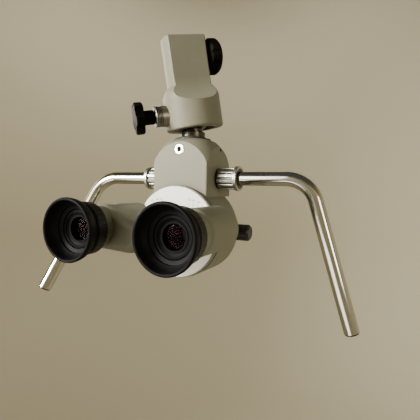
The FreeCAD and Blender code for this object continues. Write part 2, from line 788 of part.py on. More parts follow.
def arm_lock_knob():
    """Domed knob with the screw moulded into it."""
    body = new_body("arm_lock_knob")
    shoulder = LOCK_KNOB_START + d.lock_thickness / 2
    crown = d.lock_radius - 4
    turn(body, [
        (ZERO, LOCK_PAD_END),
        (d.spindle_radius, LOCK_PAD_END),
        (d.spindle_radius, LOCK_KNOB_START),
        (d.lock_radius - 1, LOCK_KNOB_START),
        (d.lock_radius, LOCK_KNOB_START + 1),
        (d.lock_radius, shoulder),
        (crown, LOCK_KNOB_END - 1, d.lock_radius / 2),
        (ZERO, LOCK_KNOB_END, dome_radius(crown, as_size(1))),
    ])
    reach = d.lock_radius + 1.4
    first = as_size(180) / d.lock_grips
    grip = cut(body, "XY_Plane", LOCK_KNOB_START, d.lock_thickness,
               lambda sketch: circle(sketch, d.lock_grip_radius, reach * cosine(first),
                                     reach * sine(first)))
    repeat_round(body, grip, d.lock_grips)
    place(body, in_socket(d.lock_height), LOCK_TURN)


# Stud that hangs in the ball joint, and what turns with it.

WASHER_TOP = d.land_height + d.washer_thickness + d.washer_ring_height
COLLAR_TOP = WASHER_TOP + d.collar_height
BUSH_FLOOR = d.land_height - d.pivot_bush_length
SPRING_TOP = BUSH_FLOOR - 0.1
NUT_TOP = SPRING_TOP - d.spring_height
STUD_END = BUSH_FLOOR - d.stud_thread_length


def ball_stud():
    body = new_body("ball_stud")
    line_low = WASHER_TOP + 0.7
    waist = d.collar_radius - 0.4
    neck_top = BALL_HEIGHT - leg_of(d.ball_radius, d.stud_neck)
    turn(body, [
        (ZERO, STUD_END),
        (d.stud_thread, STUD_END),
        (d.stud_thread, BUSH_FLOOR),
        (d.shaft_radius, BUSH_FLOOR),
        (d.shaft_radius, WASHER_TOP),
        (d.collar_radius, WASHER_TOP),
        (d.collar_radius, line_low),
        (waist, line_low),
        (waist, line_low + d.collar_line),
        (d.collar_radius, line_low + d.collar_line),
        (d.collar_radius, COLLAR_TOP - 0.8),
        (d.collar_radius - 0.8, COLLAR_TOP),
        (d.stud_neck, COLLAR_TOP),
        (d.stud_neck, neck_top),
        (d.ball_radius, BALL_HEIGHT, d.ball_radius),
        (ZERO, BALL_HEIGHT + d.ball_radius, d.ball_radius),
    ])
    place(body, in_head())


def thrust_washer():
    body = new_body("thrust_washer")
    hole = d.shaft_radius + d.joint_fit
    step = d.land_height + d.washer_thickness
    turn(body, [
        (hole, d.land_height),
        (d.washer_radius, d.land_height),
        (d.washer_radius, step),
        (d.washer_ring_radius, step),
        (d.washer_ring_radius, WASHER_TOP),
        (hole, WASHER_TOP),
    ])
    place(body, in_head())


def spring_washers():
    body = new_body("spring_washers")
    hole = d.stud_thread + 0.1
    middle = NUT_TOP + d.spring_height / 2
    rise = (d.spring_height - d.spring_plate) / 2
    turn(body, [
        (hole, NUT_TOP + rise),
        (d.spring_radius, middle - rise / 2),
        (d.spring_radius, middle + rise / 2),
        (hole, SPRING_TOP - rise / 2),
    ])
    place(body, in_head())


def stud_nut():
    body = new_body("stud_nut")
    bottom = NUT_TOP - d.nut_height
    add(body, "XY_Plane", bottom, d.nut_height, lambda sketch: hexagon(sketch, d.nut_flats))
    cut(body, "XY_Plane", bottom, d.nut_height, lambda sketch: circle(sketch, d.stud_thread))
    place(body, in_head())


def pivot_bush():
    body = new_body("pivot_bush")
    hole = d.shaft_radius + d.joint_fit
    turn(body, [
        (hole, BUSH_FLOOR),
        (d.pivot_bush_radius, BUSH_FLOOR),
        (d.pivot_bush_radius, d.land_height),
        (hole, d.land_height),
    ])
    place(body, in_head())


# Head casting: a block whose top is turned about the swivel axis, on a round drum.

CROWN_HEIGHT = d.land_height - d.crown_drop
RING_SCREW_HEIGHT = d.land_height - d.ring_screw_drop
GRUB_HEIGHT = d.land_height - d.grub_drop
FLANGE_FRONT = d.block_front + d.flange_thickness
GUIDE_HEIGHT = d.prism_height + d.guide_rise
WINDOW_HEIGHT = d.prism_height - d.window_drop
PRISM_APEX = d.block_back - d.prism_room - d.prism_reach
LENS_WALL = d.block_front - d.front_bore_depth
BOSS_INNER = d.block_half_width - d.boss_inside

PLATE_SCREW_X = d.plate_half_width - d.screw_head_radius - 1
PLATE_SCREW_Z = d.plate_half_height - d.screw_head_radius - 1
FLANGE_SCREW_RING = (d.front_bore + d.disc_radius) / 2
SCREW_TURNS = [45, 135, 225, 315]


def corners(x, y):
    return [(x * across, y * up) for across in (-1, 1) for up in (-1, 1)]


def screw_place(turn_angle):
    angle = as_size(turn_angle)
    return FLANGE_SCREW_RING * cosine(angle), FLANGE_SCREW_RING * sine(angle)


def main_housing():
    body = new_body("main_housing")
    half = d.block_half_width
    add(body, "XY_Plane", ZERO, d.land_height,
        lambda sketch: rectangle(sketch, (-half, -d.block_front), (half, d.block_back)))
    upright = leg_of(d.drum_radius, half)
    dress(body, "Fillet", d.block_edge, lambda edge: edge.BoundBox.ZLength > upright.value)
    reach = half + d.block_back
    shoulder = CROWN_HEIGHT - d.cone_drop
    foot = shoulder - (reach - d.cone_radius) * tangent(d.flank_angle)
    turn(body, [
        (d.land_radius, d.land_height),
        (d.crown_radius, CROWN_HEIGHT),
        (d.cone_radius, shoulder, -d.crown_curve),
        (reach, foot),
        (reach, d.land_height + BEYOND),
        (d.land_radius, d.land_height + BEYOND),
    ], "Groove")
    dress(body, "Fillet", 2, ring_at(d.crown_radius, CROWN_HEIGHT))
    drum_length = d.block_front + d.drum_back
    add(body, "XZ_Plane", -d.block_front, drum_length,
        lambda sketch: circle(sketch, d.drum_radius))
    cut(body, "XZ_Plane", d.drum_back, d.block_back - d.drum_back,
        lambda sketch: circle(sketch, d.drum_radius))
    cut(body, "XZ_Plane", -d.block_front, d.front_bore_depth,
        lambda sketch: circle(sketch, d.front_bore))
    for sign in (-1, 1):
        across = d.beam_half_gap * sign
        cut(body, "XZ_Plane", -LENS_WALL, d.tube_lens_thickness,
            lambda sketch: circle(sketch, d.tube_lens_radius, across))
        cut(body, "XZ_Plane", -LENS_WALL, LENS_WALL,
            lambda sketch: circle(sketch, d.beam_radius, across))
    chamber = d.changer_radius + d.changer_gap
    chamber_half = d.changer_half_length + d.changer_gap
    cut(body, "YZ_Plane", -chamber_half, chamber_half * 2,
        lambda sketch: circle(sketch, chamber))
    cut(body, "YZ_Plane", -d.drum_radius, d.drum_radius * 2,
        lambda sketch: circle(sketch, d.bearing_radius))
    cut(body, "XZ_Plane", ZERO, d.drum_back,
        lambda sketch: circle(sketch, d.objective_bore))
    cut(body, "XY_Plane", BUSH_FLOOR, d.pivot_bush_length,
        lambda sketch: circle(sketch, d.pivot_bush_radius))
    cut(body, "XY_Plane", BUSH_FLOOR - d.nut_room_depth, d.nut_room_depth,
        lambda sketch: circle(sketch, d.nut_room))
    room_half = d.prism_reach + d.prism_room
    room_width = d.prism_half_width + d.prism_room
    room_front = PRISM_APEX - d.prism_room
    cut(body, "XZ_Plane", room_front, d.block_back - room_front,
        lambda sketch: rectangle(sketch, (-room_width, d.prism_height - room_half),
                                 (room_width, d.prism_height + room_half)))
    for start in (-half, BOSS_INNER):
        cut(body, "YZ_Plane", start, d.boss_inside,
            lambda sketch: circle(sketch, d.boss_radius, ZERO, d.handle_height))
    ring_screw = d.ring_screw_length - d.ring_screw_proud
    cut(body, "XZ_Plane", -d.block_front, ring_screw,
        lambda sketch: circle(sketch, d.ring_screw_hole + 0.5, ZERO, RING_SCREW_HEIGHT))
    cut(body, "YZ_Plane", half - d.grub_sunk - d.grub_length, d.grub_sunk + d.grub_length,
        lambda sketch: circle(sketch, d.grub_radius, d.grub_back, GRUB_HEIGHT))
    for turn_angle in SCREW_TURNS:
        cut(body, "XZ_Plane", -d.block_front, d.screw_shank_length,
            lambda sketch: circle(sketch, d.grub_radius, *screw_place(turn_angle)))
    for across, rise in corners(PLATE_SCREW_X, PLATE_SCREW_Z):
        height = d.prism_height + rise
        depth = d.screw_shank_length - d.plate_thickness + 0.3
        cut(body, "XZ_Plane", d.block_back - depth, depth,
            lambda sketch: circle(sketch, d.screw_shank_radius, across, height))
    place(body, in_head())


def front_ring_screw():
    """Screw with a wide ring and a round recess, which holds the pivot bush."""
    body = new_body("front_ring_screw")
    shank = d.ring_screw_hole + 0.5
    back = d.ring_screw_proud - d.ring_screw_length
    turn(body, [
        (ZERO, back),
        (shank, back),
        (shank, ZERO),
        (d.ring_screw_radius, ZERO),
        (d.ring_screw_radius, d.ring_screw_proud),
        (d.ring_screw_hole, d.ring_screw_proud),
        (d.ring_screw_hole, -d.ring_screw_length / 2),
        (ZERO, -d.ring_screw_length / 2),
    ])
    place(body, in_head(0, -d.block_front, RING_SCREW_HEIGHT), FACING_USER)


def side_grub_screw():
    body = new_body("side_grub_screw")
    add(body, "XY_Plane", -d.grub_length, d.grub_length,
        lambda sketch: circle(sketch, d.grub_radius))
    cut(body, "XY_Plane", -d.grub_length / 3, d.grub_length / 3,
        lambda sketch: hexagon(sketch, d.screw_hex * 0.75))
    spot = in_head(d.block_half_width - d.grub_sunk, d.grub_back, GRUB_HEIGHT)
    place(body, spot, Rotation(Z_AXIS, X_AXIS))


# Back of the head. These pieces are turned about axes that point backwards.

def rear_cover():
    body = new_body("rear_cover")
    back = d.drum_back + d.cover_depth
    seat = d.drum_back + d.objective_sunk
    front = d.changer_radius + d.changer_gap
    turn(body, [
        (d.objective_seat, front),
        (d.objective_bore, front),
        (d.objective_bore, d.drum_back),
        (d.drum_radius, d.drum_back),
        (d.cover_back_radius, back),
        (d.objective_radius, back),
        (d.objective_radius, seat),
        (d.objective_seat, seat),
    ])
    dress(body, "Fillet", 1.5, ring_at(d.cover_back_radius, back))
    place(body, in_head(), FACING_BACK)


def objective_lens():
    body = new_body("objective_lens")
    start = d.drum_back + d.objective_sunk
    rise = d.objective_curve - leg_of(d.objective_curve, d.objective_seat)
    edge = start + d.objective_thickness - rise
    turn(body, [
        (ZERO, start),
        (d.objective_radius, start),
        (d.objective_radius, edge),
        (d.objective_seat, edge),
        (ZERO, start + d.objective_thickness, d.objective_curve),
    ])
    place(body, in_head(), FACING_BACK)


def objective_ring():
    body = new_body("objective_ring")
    back = d.drum_back + d.cover_depth
    rise = d.objective_curve - leg_of(d.objective_curve, d.objective_seat)
    lens_edge = d.drum_back + d.objective_sunk + d.objective_thickness - rise
    end = back + d.objective_ring_height
    turn(body, [
        (d.objective_seat + 0.3, lens_edge),
        (d.objective_radius, lens_edge),
        (d.objective_radius, back),
        (d.objective_ring_radius, back),
        (d.objective_ring_radius, end),
        (d.objective_seat + BEYOND, end),
    ])
    grip = cut(body, "XY_Plane", back, d.objective_ring_height,
               lambda sketch: circle(sketch, as_size(0.8), d.objective_ring_radius + 0.3))
    repeat_round(body, grip, d.objective_ring_grips)
    place(body, in_head(), FACING_BACK)


def illumination_prism():
    body = new_body("illumination_prism")
    tall = PRISM_APEX + d.prism_reach
    add(body, "YZ_Plane", -d.prism_half_width, d.prism_half_width * 2,
        lambda sketch: draw(sketch, [
            (PRISM_APEX, d.prism_height),
            (tall, d.prism_height - d.prism_reach),
            (tall, d.prism_height + d.prism_reach),
        ]))
    place(body, in_head())


def illuminator_plate():
    body = new_body("illuminator_plate")
    low = d.prism_height - d.plate_half_height
    high = d.prism_height + d.plate_half_height
    wide = d.plate_half_width
    add(body, "XZ_Plane", d.block_back, d.plate_thickness,
        lambda sketch: rectangle(sketch, (-wide, low), (wide, high)))
    dress(body, "Fillet", 2.5, lambda edge: near(edge.BoundBox.YLength, d.plate_thickness))
    holes = [(ZERO, GUIDE_HEIGHT, d.guide_outer), (ZERO, WINDOW_HEIGHT, d.window_radius)]
    for across, rise in corners(PLATE_SCREW_X, PLATE_SCREW_Z):
        holes.append((across, d.prism_height + rise, d.screw_shank_radius))
    for across, height, radius in holes:
        cut(body, "XZ_Plane", d.block_back, d.plate_thickness,
            lambda sketch: circle(sketch, radius, across, height))
    place(body, in_head())


def illumination_lens():
    body = new_body("illumination_lens")
    turn(body, [
        (ZERO, ZERO),
        (d.window_radius, ZERO),
        (d.window_radius, d.plate_thickness - 1),
        (ZERO, d.plate_thickness - 0.4, dome_radius(d.window_radius, as_size(0.6))),
    ])
    place(body, in_head(0, d.block_back, WINDOW_HEIGHT), FACING_BACK)


def light_guide_socket():
    body = new_body("light_guide_socket")
    end = d.plate_thickness + d.guide_length
    turn(body, [
        (d.guide_bore, ZERO),
        (d.guide_outer, ZERO),
        (d.guide_outer, end - 4),
        (d.guide_outer + 1, end - 4),
        (d.guide_outer + 1, end),
        (d.guide_bore, end),
    ])
    dress(body, "Chamfer", 0.5, ring_at(d.guide_bore, end))
    place(body, in_head(0, d.block_back, GUIDE_HEIGHT), FACING_BACK)


def group(label, pieces):
    """Several like pieces that share one node."""
    compound = doc.addObject("Part::Compound", "Group_" + label)
    compound.Links = pieces
    compound.Label = label
    for piece in pieces:
        bodies.pop(piece.Label)
    bodies[label] = compound


def illuminator_screws():
    pieces = []
    for across, rise in corners(PLATE_SCREW_X, PLATE_SCREW_Z):
        body = new_body(f"illuminator_screw_{len(pieces) + 1}")
        turn(body, [
            (ZERO, -d.screw_shank_length),
            (d.screw_shank_radius, -d.screw_shank_length),
            (d.screw_shank_radius, ZERO),
            (d.screw_head_radius, ZERO),
            (d.screw_head_radius, d.screw_head_height),
            (ZERO, d.screw_head_height),
        ])
        cut(body, "XY_Plane", d.screw_head_height / 3, d.screw_head_height,
            lambda sketch: hexagon(sketch, d.screw_hex))
        back = d.block_back + d.plate_thickness
        place(body, in_head(across, back, d.prism_height + rise), FACING_BACK)
        pieces.append(body)
    group("illuminator_screws", pieces)


# Flange and light disc. Heights count from the disc's face towards the user.

FLANGE_FLOOR = -d.disc_thickness
FLANGE_FACE = FLANGE_FLOOR + d.disc_recess
PIVOT_BORE = d.pivot_radius + d.joint_fit


def tube_flange():
    body = new_body("tube_flange")
    turn(body, [
        (ZERO, -d.flange_thickness - d.flange_spigot),
        (d.front_bore, -d.flange_thickness - d.flange_spigot),
        (d.front_bore, -d.flange_thickness),
        (d.flange_radius, -d.flange_thickness),
        (d.flange_radius, FLANGE_FACE),
        (d.disc_radius, FLANGE_FACE),
        (d.disc_radius, FLANGE_FLOOR),
        (ZERO, FLANGE_FLOOR),
    ])
    depth = d.flange_thickness + d.flange_spigot
    for sign in (-1, 1):
        cut(body, "XY_Plane", -depth, depth,
            lambda sketch: circle(sketch, PIVOT_BORE, d.beam_half_gap * sign))
    hole = cut(body, "XY_Plane", -depth, depth,
               lambda sketch: circle(sketch, d.grub_radius, *screw_place(SCREW_TURNS[0])))
    counterbore = cut(body, "XY_Plane", FLANGE_FLOOR - 2, BEYOND,
                      lambda sketch: circle(sketch, d.screw_head_radius + 0.4,
                                            *screw_place(SCREW_TURNS[0])))
    pattern = repeat_round(body, hole, as_size(len(SCREW_TURNS)))
    pattern.Originals = [hole, counterbore]
    place(body, in_head(0, -FLANGE_FRONT), FACING_USER)


def flange_screws():
    pieces = []
    for turn_angle in SCREW_TURNS:
        body = new_body(f"flange_screw_{len(pieces) + 1}")
        top = FLANGE_FLOOR - 0.2
        low = -d.flange_thickness - d.screw_shank_length
        turn(body, [
            (ZERO, low),
            (d.grub_radius, low),
            (d.grub_radius, FLANGE_FLOOR - 2),
            (d.screw_head_radius + 0.2, FLANGE_FLOOR - 2),
            (d.screw_head_radius + 0.2, top),
            (ZERO, top),
        ])
        across, rise = screw_place(turn_angle)
        place(body, in_head(across, -FLANGE_FRONT, rise), FACING_USER)
        pieces.append(body)
    group("flange_screws", pieces)


def light_disc():
    body = new_body("light_disc")
    add(body, "XY_Plane", -d.disc_thickness, d.disc_thickness,
        lambda sketch: circle(sketch, d.disc_radius))
    for sign in (-1, 1):
        cut(body, "XY_Plane", -d.disc_thickness, d.disc_thickness,
            lambda sketch: circle(sketch, d.pivot_radius + 0.3, d.beam_half_gap * sign))
    dress(body, "Chamfer", 0.3, ring_at(d.disc_radius, ZERO))
    place(body, in_head(0, -FLANGE_FRONT), FACING_USER)


def tube_lenses():
    pieces = []
    for sign in (-1, 1):
        body = new_body(f"tube_lens_{len(pieces) + 1}")
        rise = as_size(0.5)
        turn(body, [
            (ZERO, -d.tube_lens_thickness),
            (d.tube_lens_radius, -d.tube_lens_thickness),
            (d.tube_lens_radius, -rise),
            (ZERO, ZERO, dome_radius(d.tube_lens_radius, rise)),
        ])
        place(body, in_head(d.beam_half_gap * sign, -LENS_WALL), FACING_USER)
        pieces.append(body)
    group("tube_lenses", pieces)


# Magnification changer, turned about an axis that runs to the user's right.

ALONG_X = Rotation(Z_AXIS, X_AXIS)
ALONG_MINUS_X = Rotation(Z_AXIS, -X_AXIS)
KNOB_START = d.drum_radius + d.changer_knob_gap
JOURNAL_END = KNOB_START + d.changer_knob_length * 0.7
CHAMBER_HALF = d.changer_half_length + d.changer_gap


def changer_drum():
    """Hollow drum with journals. A ring of windows lies in the way of each beam."""
    body = new_body("changer_drum")
    inner = d.changer_radius - d.changer_wall
    end = d.changer_half_length
    turn(body, [
        (ZERO, end - d.changer_wall),
        (inner, end - d.changer_wall),
        (inner, d.changer_wall - end),
        (ZERO, d.changer_wall - end),
        (ZERO, -JOURNAL_END),
        (d.changer_shaft_radius, -JOURNAL_END),
        (d.changer_shaft_radius, -end),
        (d.changer_radius, -end),
        (d.changer_radius, end),
        (d.changer_shaft_radius, end),
        (d.changer_shaft_radius, JOURNAL_END),
        (ZERO, JOURNAL_END),
    ])
    for sign in (-1, 1):
        window = cut(body, "XZ_Plane", inner - 1, d.changer_wall + BEYOND,
                     lambda sketch: circle(sketch, d.changer_lens_radius, ZERO,
                                           d.beam_half_gap * sign))
        repeat_round(body, window, d.changer_windows)
    place(body, in_head(), ALONG_X)


def changer_lenses():
    """Two small telescopes for each beam: the third pair of windows stays open."""
    pieces = []
    step = 360 / d.changer_windows.value
    floor = d.changer_radius - d.changer_wall
    for sign in (-1, 1):
        for index in (1, 2, 4, 5):
            body = new_body(f"changer_lens_{len(pieces) + 1}")
            rise = as_size(0.4)
            turn(body, [
                (ZERO, floor),
                (d.changer_lens_radius, floor),
                (d.changer_lens_radius, floor + d.changer_lens_thickness - rise),
                (ZERO, floor + d.changer_lens_thickness,
                 dome_radius(d.changer_lens_radius, rise)),
            ])
            facing = Rotation(X_AXIS, step * index).multiply(FACING_BACK)
            place(body, in_head(d.beam_half_gap * sign), facing)
            pieces.append(body)
    group("changer_lenses", pieces)


def changer_bearings():
    pieces = []
    for facing in (ALONG_MINUS_X, ALONG_X):
        body = new_body(f"changer_bearing_{len(pieces) + 1}")
        hole = d.changer_shaft_radius + d.joint_fit
        end = d.drum_radius - 1
        turn(body, [
            (hole, CHAMBER_HALF),
            (d.bearing_radius, CHAMBER_HALF),
            (d.bearing_radius, end),
            (hole, end),
        ])
        place(body, in_head(), facing)
        pieces.append(body)
    group("changer_bearings", pieces)


def changer_knob(side, facing):
    body = new_body("changer_knob_" + side)
    end = KNOB_START + d.changer_knob_length
    turn(body, [
        (d.changer_shaft_radius, KNOB_START),
        (d.changer_knob_radius, KNOB_START),
        (d.changer_knob_radius, end),
        (ZERO, end),
        (ZERO, JOURNAL_END),
        (d.changer_shaft_radius, JOURNAL_END),
    ])
    dress(body, "Chamfer", d.changer_knob_chamfer, ring_at(d.changer_knob_radius, end))
    grip = cut(body, "XY_Plane", KNOB_START + 1.6, d.changer_knob_length,
               lambda sketch: circle(sketch, as_size(0.7), d.changer_knob_radius + 0.2))
    repeat_round(body, grip, d.changer_knob_grips)
    place(body, in_head(), facing)


# Swinging tubes. Each has a frame on its entrance axis: x runs along the arm to the
# eyepiece axis and heights count from the light disc towards the user.

TUBE_BACK = d.tube_gap
BASE_FRONT = TUBE_BACK + d.base_thickness
PRISM_TOP = d.block_prism_start + d.block_prism_half * 2
ERECTOR_START = PRISM_TOP + d.prism_gap * 2
ERECTOR_ROOM = d.block_prism_half * 1.55
GEAR_FRONT = -d.flange_thickness - d.flange_spigot - 0.2
GEAR_BACK = GEAR_FRONT - d.gear_thickness


def tube_frame(side, across=0):
    """Position and turn of a tube's frame, moved along the arm by across."""
    sign = 1 if side == "right" else -1
    angle = d.tube_swing.value if side == "right" else 180 - d.tube_swing.value
    facing = FACING_USER.multiply(Rotation(Z_AXIS, angle))
    start = in_head(d.beam_half_gap * sign, -FLANGE_FRONT)
    return start + facing.multVec(Vector(as_size(across).value, 0, 0)), facing


def tube_housing(side):
    body = new_body("tube_housing_" + side)
    add(body, "XY_Plane", TUBE_BACK, d.tube_depth - TUBE_BACK,
        lambda sketch: lobes(sketch, d.inner_lobe, d.outer_lobe, d.arm_length))
    dress(body, "Fillet", d.tube_rounding, edges_at_height(d.tube_depth))
    sleeve_start = d.tube_depth - d.tube_rounding
    add(body, "XY_Plane", sleeve_start, d.sleeve_end - sleeve_start,
        lambda sketch: circle(sketch, d.sleeve_radius, d.arm_length))
    wall = d.tube_wall
    cut(body, "XY_Plane", TUBE_BACK, d.base_thickness,
        lambda sketch: lobes(sketch, d.inner_lobe - wall, d.outer_lobe - wall, d.arm_length))
    side_room = d.block_prism_half + d.prism_gap
    room_top = PRISM_TOP + d.prism_gap
    cut(body, "XY_Plane", BASE_FRONT, room_top - BASE_FRONT,
        lambda sketch: rectangle(sketch, (-side_room, -side_room),
                                 (d.arm_length + side_room, side_room)))
    cut(body, "XY_Plane", room_top, d.sleeve_end - room_top,
        lambda sketch: circle(sketch, ERECTOR_ROOM, d.arm_length))
    bore_start = d.cell_start - BEYOND
    cut(body, "XY_Plane", bore_start, d.sleeve_end - bore_start,
        lambda sketch: circle(sketch, d.cell_radius + d.joint_fit, d.arm_length))
    place(body, *tube_frame(side))


def tube_base(side):
    """Plate with the pivot, on which the tube swings in the flange."""
    body = new_body("tube_base_" + side)
    wall = d.tube_wall
    add(body, "XY_Plane", TUBE_BACK, d.base_thickness,
        lambda sketch: lobes(sketch, d.inner_lobe - wall, d.outer_lobe - wall, d.arm_length))
    add(body, "XY_Plane", GEAR_FRONT, TUBE_BACK - GEAR_FRONT,
        lambda sketch: circle(sketch, d.pivot_radius))
    add(body, "XY_Plane", GEAR_BACK, d.gear_thickness,
        lambda sketch: circle(sketch, d.gear_seat_radius))
    cut(body, "XY_Plane", GEAR_BACK, BASE_FRONT - GEAR_BACK,
        lambda sketch: circle(sketch, d.beam_radius))
    place(body, *tube_frame(side))


def tooth_outline():
    """One tooth about the x axis: two involute flanks from root to tip."""
    pitch = d.beam_half_gap
    module = pitch * 2 / d.gear_teeth
    base = pitch * cosine(d.pressure_angle)
    radian = as_size(180 / math.pi)
    at_pitch = tangent(d.pressure_angle) - d.pressure_angle / radian
    quarter = as_size(90) / d.gear_teeth - d.gear_backlash / pitch / 2 * radian
    root_radius = pitch - module * 1.25
    tip = pitch + module * 0.95
    flank = []
    for share in (0.02, 0.35, 0.7, 1):
        radius = base + (tip - base) * share
        lean = arccosine(base / radius)
        half = quarter + (at_pitch - tangent(lean) + lean / radian) * radian
        flank.append((radius, half))
    flank.insert(0, (root_radius - 0.3, flank[0][1]))
    lower = [(radius * cosine(half), -radius * sine(half)) for radius, half in flank]
    upper = [(radius * cosine(half), radius * sine(half)) for radius, half in reversed(flank)]
    return lower + upper, root_radius


def arccosine(size):
    return Size(math.degrees(math.acos(size.value)), f"(acos({size.formula}) / 1 deg)")


def coupling_gear(side):
    """Gear on a pivot. The two mesh, so that both tubes swing alike."""
    body = new_body("coupling_gear_" + side)
    outline, root_radius = tooth_outline()
    add(body, "XY_Plane", GEAR_BACK, d.gear_thickness,
        lambda sketch: circle(sketch, root_radius))
    cut(body, "XY_Plane", GEAR_BACK, d.gear_thickness,
        lambda sketch: circle(sketch, d.gear_seat_radius))
    doc.recompute()
    tooth = add(body, "XY_Plane", GEAR_BACK, d.gear_thickness,
                lambda sketch: draw(sketch, outline))
    repeat_round(body, tooth, d.gear_teeth)
    sign = 1 if side == "right" else -1
    place(body, in_head(d.beam_half_gap * sign, -FLANGE_FRONT), FACING_USER)


def prism_set(side):
    """Prism that shifts the beam along the arm, and the erecting prism after it."""
    half = d.block_prism_half
    offset_prism = new_body("offset_prism_" + side)
    add(offset_prism, "XZ_Plane", -half, half * 2, lambda sketch: draw(sketch, [
        (-half, d.block_prism_start),
        (d.arm_length - half, d.block_prism_start),
        (d.arm_length + half, PRISM_TOP),
        (half, PRISM_TOP),
    ]))
    place(offset_prism, *tube_frame(side))
    erector = new_body("erecting_prism_" + side)
    add(erector, "XY_Plane", ERECTOR_START, d.erector_length,
        lambda sketch: rectangle(sketch, (-half, -half), (half, half)))
    place(erector, *tube_frame(side, d.arm_length))
    group("prism_set_" + side, [offset_prism, erector])


# Eyepieces, turned about the eyepiece axis.

LIP_START = d.focus_ring_end - d.focus_ring_lip
FLANGE_TOP = LIP_START - 0.3
CELL_HEAD = d.eye_face_radius + 1.7
EYE_LENS_TOP = d.cell_end - d.eye_dish_depth
EYE_LENS_START = EYE_LENS_TOP - d.eye_lens_thickness
FIELD_LENS_END = d.cell_start + 1 + d.field_lens_thickness


def eyepiece_cell(side):
    body = new_body("eyepiece_cell_" + side)
    stop = d.eye_lens_radius - d.lens_shoulder
    turn(body, [
        (d.field_lens_radius, d.cell_start),
        (d.cell_radius, d.cell_start),
        (d.cell_radius, FLANGE_TOP - 1.2),
        (d.cell_flange, FLANGE_TOP - 1.2),
        (d.cell_flange, FLANGE_TOP),
        (CELL_HEAD, FLANGE_TOP),
        (CELL_HEAD, d.cell_end - d.cell_bevel),
        (CELL_HEAD - d.cell_bevel, d.cell_end),
        (d.eye_face_radius, d.cell_end),
        (d.eye_face_radius, d.cell_end - d.eye_step),
        (d.eye_ring_radius, EYE_LENS_TOP),
        (d.eye_ring_radius, EYE_LENS_TOP + d.eye_ring_rise),
        (d.eye_lens_radius, EYE_LENS_TOP + d.eye_ring_rise),
        (d.eye_lens_radius, EYE_LENS_START),
        (stop, EYE_LENS_START),
        (stop, EYE_LENS_START - 1.5),
        (d.cell_bore, EYE_LENS_START - 3.5),
        (d.cell_bore, FIELD_LENS_END),
        (d.field_lens_radius, FIELD_LENS_END),
    ])
    place(body, *tube_frame(side, d.arm_length))


def eyepiece_lenses(side):
    rise = as_size(0.9)
    eye = new_body("eye_lens_" + side)
    turn(eye, [
        (ZERO, EYE_LENS_START),
        (d.eye_lens_radius, EYE_LENS_START),
        (d.eye_lens_radius, EYE_LENS_TOP - rise),
        (ZERO, EYE_LENS_TOP, dome_radius(d.eye_lens_radius, rise)),
    ])
    field = new_body("field_lens_" + side)
    start = FIELD_LENS_END - d.field_lens_thickness
    turn(field, [
        (ZERO, start),
        (d.field_lens_radius, start + rise, dome_radius(d.field_lens_radius, rise)),
        (d.field_lens_radius, FIELD_LENS_END),
        (ZERO, FIELD_LENS_END),
    ])
    for body in (eye, field):
        place(body, *tube_frame(side, d.arm_length))
    group("eyepiece_lenses_" + side, [eye, field])


def focusing_ring(side):
    body = new_body("focusing_ring_" + side)
    inner = d.sleeve_radius + 0.4
    lip = CELL_HEAD + d.joint_fit
    turn(body, [
        (inner, d.focus_ring_start),
        (d.focus_ring_radius, d.focus_ring_start),
        (d.focus_ring_radius, d.focus_ring_end),
        (lip, d.focus_ring_end),
        (lip, LIP_START),
        (inner, LIP_START),
    ])
    dress(body, "Chamfer", 0.5, ring_at(d.focus_ring_radius, d.focus_ring_start))
    length = d.focus_ring_end - d.focus_ring_start
    groove = cut(body, "XY_Plane", d.focus_ring_start, length - 1.2,
                 lambda sketch: circle(sketch, d.rib_groove, d.focus_ring_radius + 0.2))
    repeat_round(body, groove, d.focus_ring_ribs)
    place(body, *tube_frame(side, d.arm_length))


def eyecup(side):
    """Rubber cup with a hollow flare and a rounded rim."""
    body = new_body("eyecup_" + side)
    foot = d.focus_ring_end
    top = foot + d.cup_length
    lip = d.cup_wall
    band = foot + d.cup_band
    waist = d.cup_foot - d.cup_groove
    flare = foot + d.cup_length / 2
    turn(body, [
        (d.cup_hole, foot),
        (d.cup_foot, foot),
        (d.cup_foot, band),
        (waist, band + d.cup_groove / 2),
        (waist, band + d.cup_groove),
        (d.cup_foot, band + d.cup_groove * 1.5),
        (d.cup_rim - lip / 2, flare, -d.cup_length / 2),
        (d.cup_rim, top - lip),
        (d.cup_rim - lip, top, lip),
        (d.cup_rim - lip * 2, top - lip, lip),
        (d.cup_rim - lip * 2.4, flare),
        (d.cup_step, band + lip * 1.5),
        (d.cup_step, foot + d.cup_floor + lip / 2),
        (d.cup_hole, foot + d.cup_floor),
    ])
    place(body, *tube_frame(side, d.arm_length))


# Handles, turned about the level axis through the head. Each has a frame whose z axis
# points outwards for the pieces on the axis, and whose x axis does for the bent tube.

BOSS_END = d.block_half_width + d.boss_length
HANDLE_NUT_START = d.block_half_width + d.boss_collar + d.nut_gap
FLUTED_END = HANDLE_NUT_START + d.handle_nut_length
FLANGE_START = FLUTED_END + d.nut_groove
HANDLE_NUT_END = FLANGE_START + d.nut_flange
WEDGE_START = BOSS_END + d.wedge_gap
WEDGE_END = HANDLE_NUT_END - d.nut_lip
TUBE_HOLE = d.handle_radius + d.joint_fit


def handle_place(side):
    facing = ALONG_X if side == "right" else ALONG_MINUS_X
    return in_head(0, 0, d.handle_height), facing


def handle_boss(side):
    body = new_body("handle_boss_" + side)
    collar_end = d.block_half_width + d.boss_collar
    turn(body, [
        (TUBE_HOLE, BOSS_INNER),
        (d.boss_radius, BOSS_INNER),
        (d.boss_radius, d.block_half_width),
        (d.boss_collar_radius, d.block_half_width),
        (d.boss_collar_radius, collar_end),
        (d.boss_radius, collar_end),
        (d.boss_radius, BOSS_END),
        (TUBE_HOLE, BOSS_END),
    ])
    place(body, *handle_place(side))


